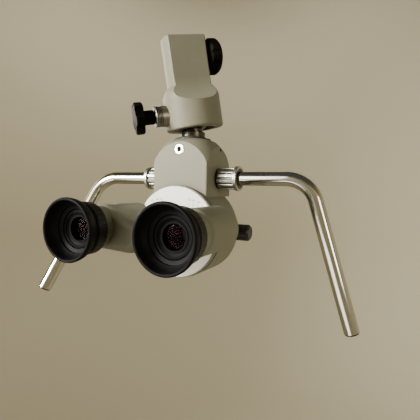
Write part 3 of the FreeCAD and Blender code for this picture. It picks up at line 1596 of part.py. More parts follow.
def handle_nut(side):
    body = new_body("handle_nut_" + side)
    bore = d.boss_radius + d.joint_fit
    mouth = TUBE_HOLE + 0.3
    turn(body, [
        (bore, HANDLE_NUT_START),
        (d.handle_nut_radius, HANDLE_NUT_START),
        (d.handle_nut_radius, FLUTED_END),
        (d.handle_nut_radius - 0.8, FLUTED_END),
        (d.handle_nut_radius - 0.8, FLANGE_START),
        (d.nut_flange_radius, FLANGE_START),
        (d.nut_flange_radius, HANDLE_NUT_END),
        (mouth, HANDLE_NUT_END),
        (mouth, WEDGE_END),
        (bore - 0.8, WEDGE_END),
        (bore, WEDGE_START),
    ])
    dress(body, "Chamfer", 0.6, ring_at(d.handle_nut_radius, HANDLE_NUT_START))
    dress(body, "Fillet", 0.5, ring_at(d.nut_flange_radius, HANDLE_NUT_END))
    flute = cut(body, "XY_Plane", HANDLE_NUT_START, d.handle_nut_length,
                lambda sketch: circle(sketch, d.flute_radius, d.handle_nut_radius + 0.5))
    repeat_round(body, flute, d.handle_nut_flutes)
    place(body, *handle_place(side))


def handle_wedge(side):
    """Slit ring that the nut draws onto the tube."""
    body = new_body("handle_wedge_" + side)
    thick = d.boss_radius
    turn(body, [
        (TUBE_HOLE, WEDGE_START),
        (thick, WEDGE_START),
        (thick - 0.8, WEDGE_END),
        (TUBE_HOLE, WEDGE_END),
    ])
    half = d.wedge_slit / 2
    cut(body, "XY_Plane", WEDGE_START, WEDGE_END - WEDGE_START,
        lambda sketch: rectangle(sketch, (ZERO, -half), (thick + BEYOND, half)))
    place(body, *handle_place(side))


def handle_direction(side):
    """Turn of the bent tube's frame, with the handle's rest swing."""
    if side == "right":
        return Rotation(X_AXIS, d.right_handle_swing.value)
    swing = Rotation(X_AXIS, -d.left_handle_swing.value)
    return swing.multiply(Rotation(Z_AXIS, 180))


def handle_tube(side):
    body = new_body("handle_tube_" + side)
    lean = d.handle_splay
    half_turn = (90 - lean) / 2
    setback = d.handle_bend * tangent(half_turn)
    across = sine(lean)
    down = -cosine(lean)
    path = new_sketch(body, "XZ_Plane")
    draw(path, [
        (d.handle_start, ZERO),
        (d.handle_corner - setback, ZERO),
        (d.handle_corner + setback * across, setback * down, -d.handle_bend),
        (d.handle_corner + d.handle_leg * across, d.handle_leg * down),
    ], closed=False)
    section = new_sketch(body, "YZ_Plane", d.handle_start)
    circle(section, d.handle_radius)
    circle(section, d.handle_radius - d.handle_wall)
    pipe = feature(body, "AdditivePipe", section)
    pipe.Spine = (path, [f"Edge{index + 1}" for index in range(3)])
    place(body, in_head(0, 0, d.handle_height), handle_direction(side))


def handle_plug(side):
    body = new_body("handle_plug_" + side)
    inner = d.handle_radius - d.handle_wall
    turn(body, [
        (ZERO, -d.plug_length),
        (inner, -d.plug_length),
        (inner, ZERO),
        (d.handle_radius, ZERO),
        (d.handle_radius - 0.4, d.plug_lip),
        (ZERO, d.plug_lip),
    ])
    lean = d.handle_splay
    end = Vector((d.handle_corner + d.handle_leg * sine(lean)).value, 0,
                 (-d.handle_leg * cosine(lean)).value)
    facing = handle_direction(side)
    down = Rotation(Y_AXIS, 180 - d.handle_splay.value)
    place(body, in_head(0, 0, d.handle_height) + facing.multVec(end), facing.multiply(down))


# Make every piece.

for make in (
    socket_housing, socket_retaining_ring, ball_liner, clamp_bush, clamp_pad,
    clamp_spindle, clamp_knob, arm_lock_pad, arm_lock_knob,
    ball_stud, thrust_washer, spring_washers, stud_nut, pivot_bush,
    main_housing, front_ring_screw, side_grub_screw,
    rear_cover, objective_lens, objective_ring, illumination_prism,
    illuminator_plate, illumination_lens, light_guide_socket, illuminator_screws,
    tube_flange, flange_screws, light_disc, tube_lenses,
    changer_drum, changer_lenses, changer_bearings,
):
    make()

changer_knob("left", ALONG_MINUS_X)
changer_knob("right", ALONG_X)

for side in ("left", "right"):
    for make in (
        tube_housing, tube_base, coupling_gear, prism_set,
        eyepiece_cell, eyepiece_lenses, focusing_ring, eyecup,
        handle_boss, handle_nut, handle_wedge, handle_tube, handle_plug,
    ):
        make(side)

doc.recompute()


# Check every object, then write one file for each node.

for item in doc.Objects:
    if "Invalid" in item.State or "Error" in item.State:
        raise RuntimeError(f"{item.Label} failed: {item.State}")

os.makedirs("parts", exist_ok=True)
for label, body in bodies.items():
    shape = body.Shape
    if shape.isNull() or not shape.isValid():
        raise RuntimeError(label + " has no valid shape")
    shape.exportStep(f"parts/{label}.step")
    print(f"{label}: {len(shape.Solids)} solid(s), {shape.Volume:.0f} mm3")
print(f"{len(bodies)} nodes")
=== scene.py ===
# %% [markdown]
# # Dressing the head of a surgical microscope
#
# The object is the working end of a binocular microscope for surgery. A socket on the end of an
# arm grips a steel ball, the ball carries a painted casting, and the casting holds two swinging
# eyepiece tubes, two bent steel handles and the glass. Its solids come from a CAD model, so this
# lesson only loads them, lights them and gives each one its finish.
# %% Load the packed model
import json
import math

import bmesh
import bpy
from mathutils import Matrix, Vector


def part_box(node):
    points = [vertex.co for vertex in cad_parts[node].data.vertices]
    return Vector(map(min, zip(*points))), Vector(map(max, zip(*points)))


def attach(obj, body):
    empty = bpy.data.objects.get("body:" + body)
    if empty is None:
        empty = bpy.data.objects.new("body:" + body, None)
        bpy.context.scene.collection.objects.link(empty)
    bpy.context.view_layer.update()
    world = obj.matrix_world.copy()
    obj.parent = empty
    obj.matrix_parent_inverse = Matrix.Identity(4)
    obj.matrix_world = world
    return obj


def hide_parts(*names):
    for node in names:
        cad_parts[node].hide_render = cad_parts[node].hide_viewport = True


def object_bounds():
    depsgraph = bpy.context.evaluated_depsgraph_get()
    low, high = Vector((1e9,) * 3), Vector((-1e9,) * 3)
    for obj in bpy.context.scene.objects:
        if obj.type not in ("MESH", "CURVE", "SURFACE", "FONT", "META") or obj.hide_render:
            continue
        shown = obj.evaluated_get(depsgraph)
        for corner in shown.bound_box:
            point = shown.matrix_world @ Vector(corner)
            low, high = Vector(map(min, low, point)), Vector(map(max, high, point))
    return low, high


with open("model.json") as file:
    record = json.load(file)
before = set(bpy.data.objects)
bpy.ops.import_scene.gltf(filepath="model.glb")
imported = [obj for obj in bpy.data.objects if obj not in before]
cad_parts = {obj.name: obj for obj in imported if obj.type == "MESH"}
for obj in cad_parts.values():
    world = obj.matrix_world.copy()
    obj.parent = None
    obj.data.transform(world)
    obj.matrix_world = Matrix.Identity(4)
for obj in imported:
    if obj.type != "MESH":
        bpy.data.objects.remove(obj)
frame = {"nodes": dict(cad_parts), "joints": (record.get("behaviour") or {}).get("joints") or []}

MM = 0.001
SIDES = ("left", "right")
nodes = frame["nodes"]
joints = {joint["name"]: joint for joint in frame["joints"]}
cad_box = [list(corner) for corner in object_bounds()]
print("pieces from CAD:", len(nodes))
print("CAD box in mm:", [[round(value / MM, 1) for value in corner] for corner in cad_box])

# %% [markdown]
# ## The camera
#
# The photograph was taken from the user's right, a little above the eyepieces and from close by,
# so the near handle looks much longer than the far one. Only a lens of the right width at the
# right distance draws that, and a long lens from far away would flatten it. The camera is turned
# about the upright, then tipped down, then rolled, in that order.
# %% Aim the camera
PHOTO_PIXELS = 420
FOCAL_PIXELS = 358.4
SENSOR_WIDTH = 36
CAMERA_PLACE = Vector((143.84, -240.46, -112.43)) * MM
CAMERA_HEADING = 26.13
CAMERA_DIP = 3.51
CAMERA_ROLL = 1.1

camera_data = bpy.data.cameras.new("camera")
camera_data.sensor_width = SENSOR_WIDTH
camera_data.lens = SENSOR_WIDTH * FOCAL_PIXELS / PHOTO_PIXELS
camera = bpy.data.objects.new("camera", camera_data)
bpy.context.scene.collection.objects.link(camera)
bpy.context.scene.camera = camera

azimuth = Matrix.Rotation(math.radians(CAMERA_HEADING), 4, "Z")
tip = Matrix.Rotation(math.radians(90 - CAMERA_DIP), 4, "X")
roll = Matrix.Rotation(math.radians(CAMERA_ROLL), 4, "Z")
camera.matrix_world = Matrix.Translation(CAMERA_PLACE) @ azimuth @ tip @ roll
print("lens in mm:", round(camera_data.lens, 2))

# %% [markdown]
# ## Turning a profile
#
# Much of an instrument is turned on a lathe, and so is the photographer's paper sweep if it runs
# all the way round. The mesh operator called spin does what the lathe does: it carries a row of
# points round an axis and leaves faces behind. One helper serves the sweep here and the rubber
# cups later.
# %% Turn a profile
WELD_DISTANCE = 0.001 * MM


def new_piece(name, form):
    """Make an object of a form, and let go of the form."""
    mesh = bpy.data.meshes.new(name)
    form.to_mesh(mesh)
    form.free()
    piece = bpy.data.objects.new(name, mesh)
    bpy.context.scene.collection.objects.link(piece)
    return piece


def turned(name, profile, steps):
    """Turn a row of (radius, height) points round Z, and give the piece smooth faces."""
    form = bmesh.new()
    line = [form.verts.new((radius, 0, height)) for radius, height in profile]
    edges = [form.edges.new(pair) for pair in zip(line, line[1:])]
    bmesh.ops.spin(form, geom=line + edges, axis=(0, 0, 1), angle=2 * math.pi, steps=steps)
    bmesh.ops.remove_doubles(form, verts=form.verts, dist=WELD_DISTANCE)
    bmesh.ops.recalc_face_normals(form, faces=form.faces)
    for face in form.faces:
        face.smooth = True
    return new_piece(name, form)


print("points closer than this are welded, in mm:", WELD_DISTANCE / MM)

# %% [markdown]
# ## The sweep
#
# A studio hides the corner between floor and wall with a sweep of paper. It could be one bent
# sheet behind the object, but then a view from the side would look past it. This one is round, so
# every view of the object has the same pale ground.
# %% Build the sweep
FLOOR_DROP = 0.95
FLOOR_RADIUS = 1.1
SWEEP_CURVE = 0.6
SWEEP_STEPS = 16
SWEEP_SIDES = 96
WALL_TOP = 1.5

sweep = [(0, -FLOOR_DROP), (FLOOR_RADIUS, -FLOOR_DROP)]
for step in range(1, SWEEP_STEPS + 1):
    angle = math.radians(90) * step / SWEEP_STEPS
    away = FLOOR_RADIUS + SWEEP_CURVE * math.sin(angle)
    sweep.append((away, SWEEP_CURVE * (1 - math.cos(angle)) - FLOOR_DROP))
sweep.append((FLOOR_RADIUS + SWEEP_CURVE, WALL_TOP))
backdrop = turned("backdrop", sweep, SWEEP_SIDES)
print("floor below the arm's bore in mm:", FLOOR_DROP / MM)

# %% [markdown]
# ## The lamps on the object
#
# In the photograph the front of the casting is four times as bright as its right side, so the
# light comes from the user's left, a little above, with hardly any fill. One lamp could do that,
# but the picture has a crisp shadow of the left cup on the tube behind it, and also broad bright
# bands along the polished steel. So two lamps share the place: a small one for the shadow and a
# large dim one for the bands. A low board gives the undersides theirs, and weak lamps on the
# right and behind keep the far sides from going black.
# %% Set the lamps
DAYLIGHT = (1.0, 0.96, 0.88)
CREAM = (1.0, 0.95, 0.86)
PALE_YELLOW = (1.0, 0.93, 0.8)
HANDLES = (0.14, 0, -0.17)


def softbox(name, place, aim, size, watts, colour, spread):
    """Add a light that faces a point. Its size is its width and its height."""
    data = bpy.data.lights.new(name, "AREA")
    data.shape = "RECTANGLE"
    data.size, data.size_y = size
    data.spread = math.radians(spread)
    data.energy = watts
    data.color = colour
    light = bpy.data.objects.new(name, data)
    bpy.context.scene.collection.objects.link(light)
    gaze = (Vector(aim) - Vector(place)).to_track_quat("-Z", "Y")
    light.matrix_world = Matrix.Translation(place) @ gaze.to_matrix().to_4x4()


heart = (Vector(cad_box[0]) + Vector(cad_box[1])) / 2
softbox("key", (-0.75, -0.95, 0.22), heart, (0.28, 0.28), 4.4, DAYLIGHT, 60)
softbox("window", (-0.62, -1.05, 0.2), heart, (0.8, 1.1), 3.4, DAYLIGHT, 80)
softbox("board", (-0.3, -0.9, -0.64), HANDLES, (1.0, 0.42), 0.8, CREAM, 80)
softbox("fill", (1.15, -0.5, 0.05), heart, (0.3, 0.5), 0.36, PALE_YELLOW, 50)
softbox("back", (-1.0, 0.35, 0.1), heart, (0.4, 0.4), 0.4, CREAM, 50)
print("middle of the object in mm:", [round(value / MM, 1) for value in heart])

# %% [markdown]
# ## The lamps on the wall
#
# A lamp on the object leaves the paper behind it uneven. Six more hang in a ring inside the
# sweep, above the object, and face its wall, so it stays pale from the back too. Those behind the
# object as the camera sees it are the strongest, because the photograph's wall is bright there.
# The room itself gives a very dim warm light from all round.
# %% Light the wall and the room
RING_RADIUS = 0.9
RING_HEIGHT = 0.95
RING_AIM_RADIUS = FLOOR_RADIUS * 1.4
RING_AIM_HEIGHT = 0.2
RING_LAMP = (0.7, 0.7)
RING_SPREAD = 132
RING_COLOUR = (1.0, 0.94, 0.83)
WALL_WATTS = {95: 3.1, 140: 4.1, 35: 1.7, 200: 2, 260: 2.8, 320: 3}
ROOM_COLOUR = (0.9, 0.87, 0.8, 1)
ROOM_STRENGTH = 0.09

for turn, watts in WALL_WATTS.items():
    out = Vector((math.cos(math.radians(turn)), math.sin(math.radians(turn)), 0))
    stand = out * RING_RADIUS + Vector((0, 0, RING_HEIGHT))
    spot = out * RING_AIM_RADIUS + Vector((0, 0, RING_AIM_HEIGHT))
    softbox(f"wall_{turn}", stand, spot, RING_LAMP, watts, RING_COLOUR, RING_SPREAD)

world = bpy.data.worlds.new("room")
bpy.context.scene.world = world
world.use_nodes = True
room = world.node_tree.nodes["Background"]
room.inputs["Color"].default_value = ROOM_COLOUR
room.inputs["Strength"].default_value = ROOM_STRENGTH


# %% [markdown]
# ## Sums on a surface
#
# A procedural finish is a sum worked out at each point of a surface. Wired by hand it soon
# becomes a net that nobody can read, so one small class wraps a socket and lets Python write the
# sum. Adding two sockets adds a Math node, and every other node comes from one method.
# %% Wrap a socket
class Socket:
    """A socket of a shader's nodes, which Python can do sums with."""

    def __init__(self, tree, socket=None):
        self.tree = tree
        self.socket = socket

    def node(self, kind, settings, values, output=0):
        """Add a node, say what it does, fill its sockets and give one of its outputs."""
        made = self.tree.nodes.new(f"ShaderNode{kind}")
        for name, setting in settings.items():
            setattr(made, name, setting)
        for name, value in values.items():
            if isinstance(value, Socket):
                self.tree.links.new(value.socket, made.inputs[name])
            else:
                made.inputs[name].default_value = value
        return Socket(self.tree, made.outputs[output])

    def maths(self, operation, first, second):
        return self.node("Math", {"operation": operation}, {0: first, 1: second})

    def __add__(self, other):
        return self.maths("ADD", self, other)

    def __radd__(self, other):
        return self.maths("ADD", other, self)

    def __sub__(self, other):
        return self.maths("SUBTRACT", self, other)

    def __rsub__(self, other):
        return self.maths("SUBTRACT", other, self)

    def __mul__(self, other):
        return self.maths("MULTIPLY", self, other)

    def __rmul__(self, other):
        return self.maths("MULTIPLY", other, self)

    def vector(self, operation, other, output="Vector"):
        """Vector Math on this socket and another."""
        return self.node("VectorMath", {"operation": operation}, {0: self, 1: other}, output)

    def between(self, low, high):
        """Rise smoothly from 0 to 1 while this number goes from low to high."""
        settings = {"interpolation_type": "SMOOTHSTEP"}
        return self.node("MapRange", settings, {"Value": self, "From Min": low, "From Max": high})

    def blend(self, first, second):
        """Give the first colour where this number is 0 and the second where it is 1."""
        return self.node("Mix", {"data_type": "RGBA"}, {0: self, 6: first, 7: second}, 2)


reflected = [name for name in vars(Socket) if name.startswith("__r")]
print("sums that also work with a number first:", reflected)


# %% [markdown]
# ## Where a point is
#
# Every finish here starts from a point's place on the part, in metres, so that a grain has its
# real size. For a turned piece two numbers matter more: how far the point is from the piece's
# axis, and how far along it. The joints of the CAD model already name those axes.
# %% Read places on a piece
def place_on(material):
    """The point's place on the part, in metres."""
    return Socket(material.node_tree).node("TexCoord", {}, {}, "Object")


def noise(place, scale, detail):
    """Cloudy noise from 0 to 1, with that many clouds in a metre."""
    return place.node("TexNoise", {}, {"Vector": place, "Scale": scale, "Detail": detail})


def joint_axis(name):
    """A point on a joint's axis, and its direction."""
    return joints[name]["pos_m"], joints[name]["axis"]


def on_lathe(place, centre, axis):
    """How far a point is from an axis, and how far along it."""
    out = place.vector("SUBTRACT", centre)
    along = out.vector("DOT_PRODUCT", axis, "Value")
    away = out.vector("CROSS_PRODUCT", axis)
    return away.node("VectorMath", {"operation": "LENGTH"}, {0: away}, "Value"), along


def tool_lines(place, centre, axis, scale):
    """The rings that a lathe tool leaves, as noise that only changes across them."""
    away, along = on_lathe(place, centre, axis)
    across = away.node("CombineXYZ", {}, {"X": away, "Y": along})
    return noise(across, scale, 3)


print("axes that a piece can be turned about:", len(joints))


# %% [markdown]
# ## Putting on a finish
#
# A CAD piece keeps its shape and gets a material on its only slot. A number that is the same all
# over a piece, such as how much it reflects, is set on the shader itself. What changes from place
# to place is worked out and then fed to the shader's colour, roughness or normal.
# %% Make and put on a finish
def new_finish(name, colour, roughness, **numbers):
    """Make a material. Its even numbers go straight on the shader's own sockets."""
    material = bpy.data.materials.new(name)
    material.use_nodes = True
    shader = material.node_tree.nodes["Principled BSDF"]
    shader.inputs["Base Color"].default_value = (*colour, 1)
    shader.inputs["Roughness"].default_value = roughness
    for words, value in numbers.items():
        socket = words.replace("_", " ").title().replace("Ior", "IOR")
        shader.inputs[socket].default_value = value
    return material, shader


def feed(material, shader, name, value):
    """Let a worked out value drive one socket of the shader."""
    material.node_tree.links.new(value.socket, shader.inputs[name])


def bump(height, strength, depth):
    """Tip the surface as that height would, where the height's 1 stands depth high."""
    values = {"Height": height, "Strength": strength, "Distance": depth}
    return height.node("Bump", {}, values)


def dress(material, *names):
    """Put a material on these CAD pieces."""
    for name in names:
        slots = nodes[name].data.materials
        slots.clear()
        slots.append(material)
    print(f"{material.name}:", ", ".join(names))


def both(name):
    """The left and the right piece of a pair."""
    return [f"{name}_{side}" for side in SIDES]


print("a pair of pieces:", both("handle_nut"))


# %% [markdown]
# ## Sprayed enamel
#
# The castings wear a warm grey enamel. Sprayed paint is never quite even: it has slow clouds of
# thicker and thinner colour and a fine orange peel that breaks up reflections. Its corners get
# painted shade and, since hands and cloths touch an instrument every day, a little grime where a
# cloth doesn't reach. Ambient occlusion finds those corners without painting them by hand. The
# tubes get a greener copy, a painted tint for the olive shade that falls on them.
# %% Spray the castings
PAINT_CLOUDS = 26
PAINT_SPECKS = 1500
ORANGE_PEEL = 620
CORNER_REACH = 5 * MM


def enamel(name, colour, painted_shade):
    """Sprayed paint with clouds, orange peel, and corners painted darker for shade and soiling."""
    material, shader = new_finish(name, colour, 0.5, specular_ior_level=0.25)
    place = place_on(material)
    cloud = noise(place, PAINT_CLOUDS, 4)
    speck = noise(place, PAINT_SPECKS, 2)
    # The occlusion below paints the corners darker: painted shade, with a little grime.
    hollow = place.node("AmbientOcclusion", {"samples": 6}, {"Distance": CORNER_REACH}, "AO")
    shade_and_grime = (1 - hollow) * (0.35 + cloud * 0.6)
    tone = (cloud * 0.7 + speck * 0.3).between(0.3, 0.75)
    light = [value * 1.06 for value in colour]
    dark = [value * 0.93 for value in colour]
    paint = tone.blend((*dark, 1), (*light, 1))
    feed(material, shader, "Base Color", shade_and_grime.blend(paint, (*painted_shade, 1)))
    feed(material, shader, "Roughness", 0.44 + cloud * 0.14 + shade_and_grime * 0.15)
    peel = noise(place, ORANGE_PEEL, 2) + speck * 0.25
    feed(material, shader, "Normal", bump(peel, 0.22, 0.12 * MM))
    return material


casting_enamel = enamel("casting_enamel", (0.195, 0.19, 0.138), (0.06, 0.054, 0.04))
dress(casting_enamel, "main_housing", "socket_housing", "rear_cover", "illuminator_plate")
# The greener copy is a painted tint: it stands for the olive shade on the tubes.
tube_enamel_shade_tint = enamel("tube_enamel_shade_tint", (0.19, 0.193, 0.138), (0.05, 0.05, 0.035))
dress(tube_enamel_shade_tint, *both("tube_housing"), "tube_flange")


# %% [markdown]
# ## Polished handles
#
# The handles are drawn steel tube, polished along their length, so their reflections are sharp
# across the tube and slightly smeared by fine scratches. Tube in a large room has dark edges,
# because they mirror what is far to its side. The paper round this one is pale, so a dark tint at
# the metal's edge is a painted reflection that stands for the room.
# %% Polish the handles
STEEL = (0.66, 0.65, 0.61)
WORN_STEEL = (0.58, 0.565, 0.52, 1)
ROOM_REFLECTION_EDGE = (0.24, 0.2, 0.14, 1)


def polished_steel(name):
    """Polished tube with fine scratches and places that hands have dulled."""
    # The dark specular tint at the edge is a painted reflection of a dark room.
    material, shader = new_finish(name, STEEL, 0.14, metallic=1.0, specular_tint=ROOM_REFLECTION_EDGE)
    place = place_on(material)
    smear = noise(place, 45, 4)
    scratch = noise(place, 2400, 3)
    worn = smear.between(0.35, 0.8)
    feed(material, shader, "Roughness", 0.1 + worn * 0.1 + scratch.between(0.5, 0.8) * 0.08)
    feed(material, shader, "Base Color", worn.blend((*STEEL, 1), WORN_STEEL))
    feed(material, shader, "Normal", bump(scratch, 0.05, 0.02 * MM))
    return material


dress(polished_steel("polished_tube"), *both("handle_tube"))


# %% [markdown]
# ## Turned metal
#
# Nuts, bush, stud and rings come off a lathe, and keep faint tool lines round their axis. The
# lines could be rings in a picture, but noise that only changes across them needs no picture and
# follows any axis. Grooves get painted shade: a point nearer the axis than a groove's floor is
# painted dark. The brass and bronze inside are the same metal in other colours, and black
# anodised rings are the same marks with no metal shine.
# %% Turn the ball joint and its clamp
TOOL_LINES = 2600
STEEL_SMEARS = 60
BRASS = (0.62, 0.47, 0.22)
BLACK_METAL = (0.01, 0.01, 0.0105)
CLAMP_GROOVE = 7.4 * MM


def turned_metal(name, colour, roughness, centre, axis, groove=0, **numbers):
    """Metal with tool lines. Anything nearer the axis than a groove's floor is painted dark as
    shade.
    """
    material, shader = new_finish(name, colour, roughness, **{"metallic": 1.0, **numbers})
    place = place_on(material)
    lines = tool_lines(place, centre, axis, TOOL_LINES)
    smear = noise(place, STEEL_SMEARS, 3)
    dull = [value * 0.82 for value in colour]
    metal = smear.between(0.35, 0.75).blend((*colour, 1), (*dull, 1))
    # Below a groove's floor the colour is painted dark: painted shade in the groove.
    if groove:
        away, _ = on_lathe(place, centre, axis)
        painted_shade = [value * 0.16 for value in colour]
        outside_groove_floor = away.between(groove - 0.15 * MM, groove + 0.2 * MM)
        metal = outside_groove_floor.blend((*painted_shade, 1), metal)
    feed(material, shader, "Base Color", metal)
    feed(material, shader, "Roughness", roughness * 0.75 + smear * roughness * 0.5)
    feed(material, shader, "Normal", bump(lines, 0.3, 0.03 * MM))
    return material


upright = joint_axis("head_swivel")
dress(turned_metal("stud_steel", (0.1, 0.09, 0.068), 0.34, *upright), "ball_stud", "stud_nut")
dress(turned_metal("spring_steel", (0.3, 0.275, 0.225), 0.3, *upright), "spring_washers")
dress(turned_metal("bush_brass", BRASS, 0.3, *upright), "pivot_bush")
dress(turned_metal("liner_bronze", (0.42, 0.3, 0.15), 0.35, *upright), "ball_liner")

clamp = joint_axis("clamp_knob_turn")
clamp_steel = turned_metal("clamp_steel", (0.27, 0.25, 0.205), 0.4, *clamp, groove=CLAMP_GROOVE)
dress(clamp_steel, "clamp_bush", "clamp_spindle")
dress(turned_metal("pad_brass", BRASS, 0.35, *clamp), "clamp_pad", "arm_lock_pad")
ring_black = turned_metal("ring_black", BLACK_METAL, 0.36, *clamp, metallic=0)
dress(ring_black, "socket_retaining_ring")

# %% [markdown]
# ## Changer, nuts and gears
#
# The magnification changer lies across the head, so its lines run about a sideways axis. The nuts
# that hold the handles are bright steel with painted shade in their flutes. Each tube turns on its
# own pivot, so its base and gear take their lines from that pivot and its eyepiece from the
# eyepiece's axis. The inside of an eyepiece is blackened so that it reflects next to nothing.
# %% Turn the changer, the nuts and the eyepieces
NUT_GROOVE = 7.6 * MM
CELL_BLACK = (0.006, 0.006, 0.0065)

sideways = joint_axis("magnification_turn")
changer_black = turned_metal("changer_black", BLACK_METAL, 0.4, *sideways, metallic=0)
dress(changer_black, "changer_drum")
dress(turned_metal("bearing_brass", BRASS, 0.32, *sideways), "changer_bearings")

handle = joint_axis("handle_swing_right")
nut_steel = turned_metal("nut_steel", (0.46, 0.45, 0.4), 0.4, *handle, groove=NUT_GROOVE)
dress(nut_steel, *both("handle_nut"), *both("handle_boss"), *both("handle_wedge"))

for side in SIDES:
    eye = joint_axis(f"focus_turn_{side}")
    cell_look = {"metallic": 0, "specular_ior_level": 0.04}
    cell = turned_metal(f"cell_black_{side}", CELL_BLACK, 0.45, *eye, **cell_look)
    dress(cell, f"eyepiece_cell_{side}")
    swing = joint_axis(f"tube_swing_{side}")
    gear = turned_metal(f"gear_brass_{side}", BRASS, 0.3, *swing)
    dress(gear, f"coupling_gear_{side}")
    base = turned_metal(f"base_black_{side}", BLACK_METAL, 0.4, *swing, metallic=0)
    dress(base, f"tube_base_{side}")


# %% [markdown]
# ## Screws and black rings
#
# The line of sight is the axis of everything at the back and of the screw on the front. That
# screw is a bright ring round a recess. Its recess is modelled, but a hole so small gathers grime
# as well as shadow, so the finish paints both into it: painted shade and grime darken it too.
# %% Turn the screws and rings
SIGHT = (0, 1, 0)
RECESS_EDGE = 1.75 * MM
RING_EDGE = 2.05 * MM
RECESS_SHADE_AND_GRIME = (0.012, 0.011, 0.009, 1)
RING_STEEL = (0.8, 0.79, 0.75, 1)


def sunk_screw(name, centre, axis):
    """A bright ring round a recess, which is painted dark for its shade and soiling."""
    material, shader = new_finish(name, STEEL, 0.25, metallic=1.0)
    place = place_on(material)
    away, _ = on_lathe(place, centre, axis)
    lines = tool_lines(place, centre, axis, TOOL_LINES)
    ring = away.between(RECESS_EDGE, RING_EDGE)
    # The recess is painted dark: painted shade, with grime.
    feed(material, shader, "Base Color", ring.blend(RECESS_SHADE_AND_GRIME, RING_STEEL))
    feed(material, shader, "Roughness", 0.6 - ring * 0.35)
    feed(material, shader, "Normal", bump(lines, 0.2, 0.03 * MM))
    return material


head_middle = joints["magnification_turn"]["pos_m"]
screw_low, screw_high = map(Vector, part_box("front_ring_screw"))
dress(sunk_screw("sunk_screw", (screw_low + screw_high) / 2, SIGHT), "front_ring_screw")
screw_steel = turned_metal("screw_steel", STEEL, 0.25, head_middle, SIGHT)
dress(screw_steel, "illuminator_screws", "flange_screws")
black_ring = turned_metal("ring_anodised", BLACK_METAL, 0.36, head_middle, SIGHT, metallic=0)
dress(black_ring, "objective_ring", "light_guide_socket")


# %% [markdown]
# ## Black plastic and rubber
#
# Three more blacks sit beside the anodised rings and none is the same. Moulded knobs have fine
# scratches and go grey where hands rub them, the rubber cups are matt and slightly dusty, and the
# washers are plain dull black. The eye tells them apart by their highlights, so they differ in
# how much they reflect, in roughness and in their marks.
# %% Mould the blacks
RUBBED_BLACK = (0.02, 0.0175, 0.014)
FRESH_BLACK = (0.007, 0.0066, 0.006)
CLEAN_RUBBER = (0.0045, 0.0045, 0.005, 1)
DUSTY_RUBBER = (0.011, 0.011, 0.0112, 1)


def moulded_black(name, shade=1.0, shine=0.2):
    """Black plastic. Its shade is how grey it is, and its shine how much it reflects."""
    rubbed = [value * shade for value in RUBBED_BLACK]
    fresh = [value * shade for value in FRESH_BLACK]
    material, shader = new_finish(name, fresh, 0.4, specular_ior_level=shine)
    place = place_on(material)
    rub = noise(place, 90, 4).between(0.4, 0.75)
    scratch = noise(place, 1900, 4)
    feed(material, shader, "Base Color", rub.blend((*fresh, 1), (*rubbed, 1)))
    feed(material, shader, "Roughness", 0.32 + rub * 0.2 + scratch * 0.08)
    feed(material, shader, "Normal", bump(scratch, 0.12, 0.04 * MM))
    return material


def rubber(name):
    """Matt rubber with a little dust."""
    material, shader = new_finish(name, (0.006, 0.006, 0.006), 0.6, specular_ior_level=0.07)
    place = place_on(material)
    dust = noise(place, 140, 5).between(0.45, 0.85)
    grain = noise(place, 1300, 3)
    feed(material, shader, "Base Color", dust.blend(CLEAN_RUBBER, DUSTY_RUBBER))
    feed(material, shader, "Roughness", 0.5 + dust * 0.15 + grain * 0.08)
    feed(material, shader, "Normal", bump(grain, 0.2, 0.06 * MM))
    return material


def dull_black(name):
    """Plain dull black with a fine grain."""
    material, shader = new_finish(name, (0.02, 0.02, 0.019), 0.6)
    grain = noise(place_on(material), 800, 3)
    feed(material, shader, "Roughness", 0.5 + grain * 0.2)
    feed(material, shader, "Normal", bump(grain, 0.15, 0.05 * MM))
    return material


dress(moulded_black("star_knob", 0.5, 0.01), "clamp_knob", "arm_lock_knob")
dress(moulded_black("moulded_knob", 1.7, 0.25), *both("changer_knob"))
dress(moulded_black("plug_black"), *both("handle_plug"))
for side in SIDES:
    dress(moulded_black(f"ring_moulded_{side}"), f"focusing_ring_{side}")
dress(dull_black("washer_black"), "thrust_washer")
dress(dull_black("grub_black"), "side_grub_screw")


# %% [markdown]
# ## Coated glass
#
# An eyepiece looks nearly black, because light goes in and little comes back. What does come back
# is tinted purple by the thin coating on the glass. The tint belongs to the reflection and not to
# the glass, so it goes on the shader's specular tint and the glass itself stays clear. The
# coating also lets nearly all the light through, and a low index does the same here.
# %% Coat the glass
CLEAR = (0.96, 0.97, 0.98)
COATED_INDEX = 1.13


def coated_glass(name, tint):
    """Clear glass with a tinted coating, and faint marks where it was wiped."""
    look = {"transmission_weight": 1.0, "ior": COATED_INDEX, "specular_tint": (*tint, 1)}
    material, shader = new_finish(name, CLEAR, 0.02, **look)
    wipe = noise(place_on(material), 220, 4).between(0.45, 0.85)
    feed(material, shader, "Roughness", 0.01 + wipe * 0.05)
    return material


dress(coated_glass("eye_glass", (0.7, 0.36, 0.62)), *both("eyepiece_lenses"))
dress(coated_glass("front_glass", (0.5, 0.4, 0.9)), "objective_lens", "illumination_lens")
dress(coated_glass("inner_glass", (0.8, 0.7, 0.9)), "tube_lenses", "changer_lenses")
dress(coated_glass("prism_glass", (1.0, 1.0, 1.0)), *both("prism_set"), "illumination_prism")


# %% [markdown]
# ## The white disc
#
# Behind the tubes sits a white disc, a thin turned plate with a baked finish. It is nearly
# smooth: its tool lines show only as a faint sheen round its middle. With it every CAD piece has
# a finish, so the cell also looks for any that was left bare.
# %% Bake the disc
DISC_WHITE = (0.93, 0.915, 0.87)
DISC_YELLOWED = (0.88, 0.86, 0.8, 1)
DISC_LINES = 900


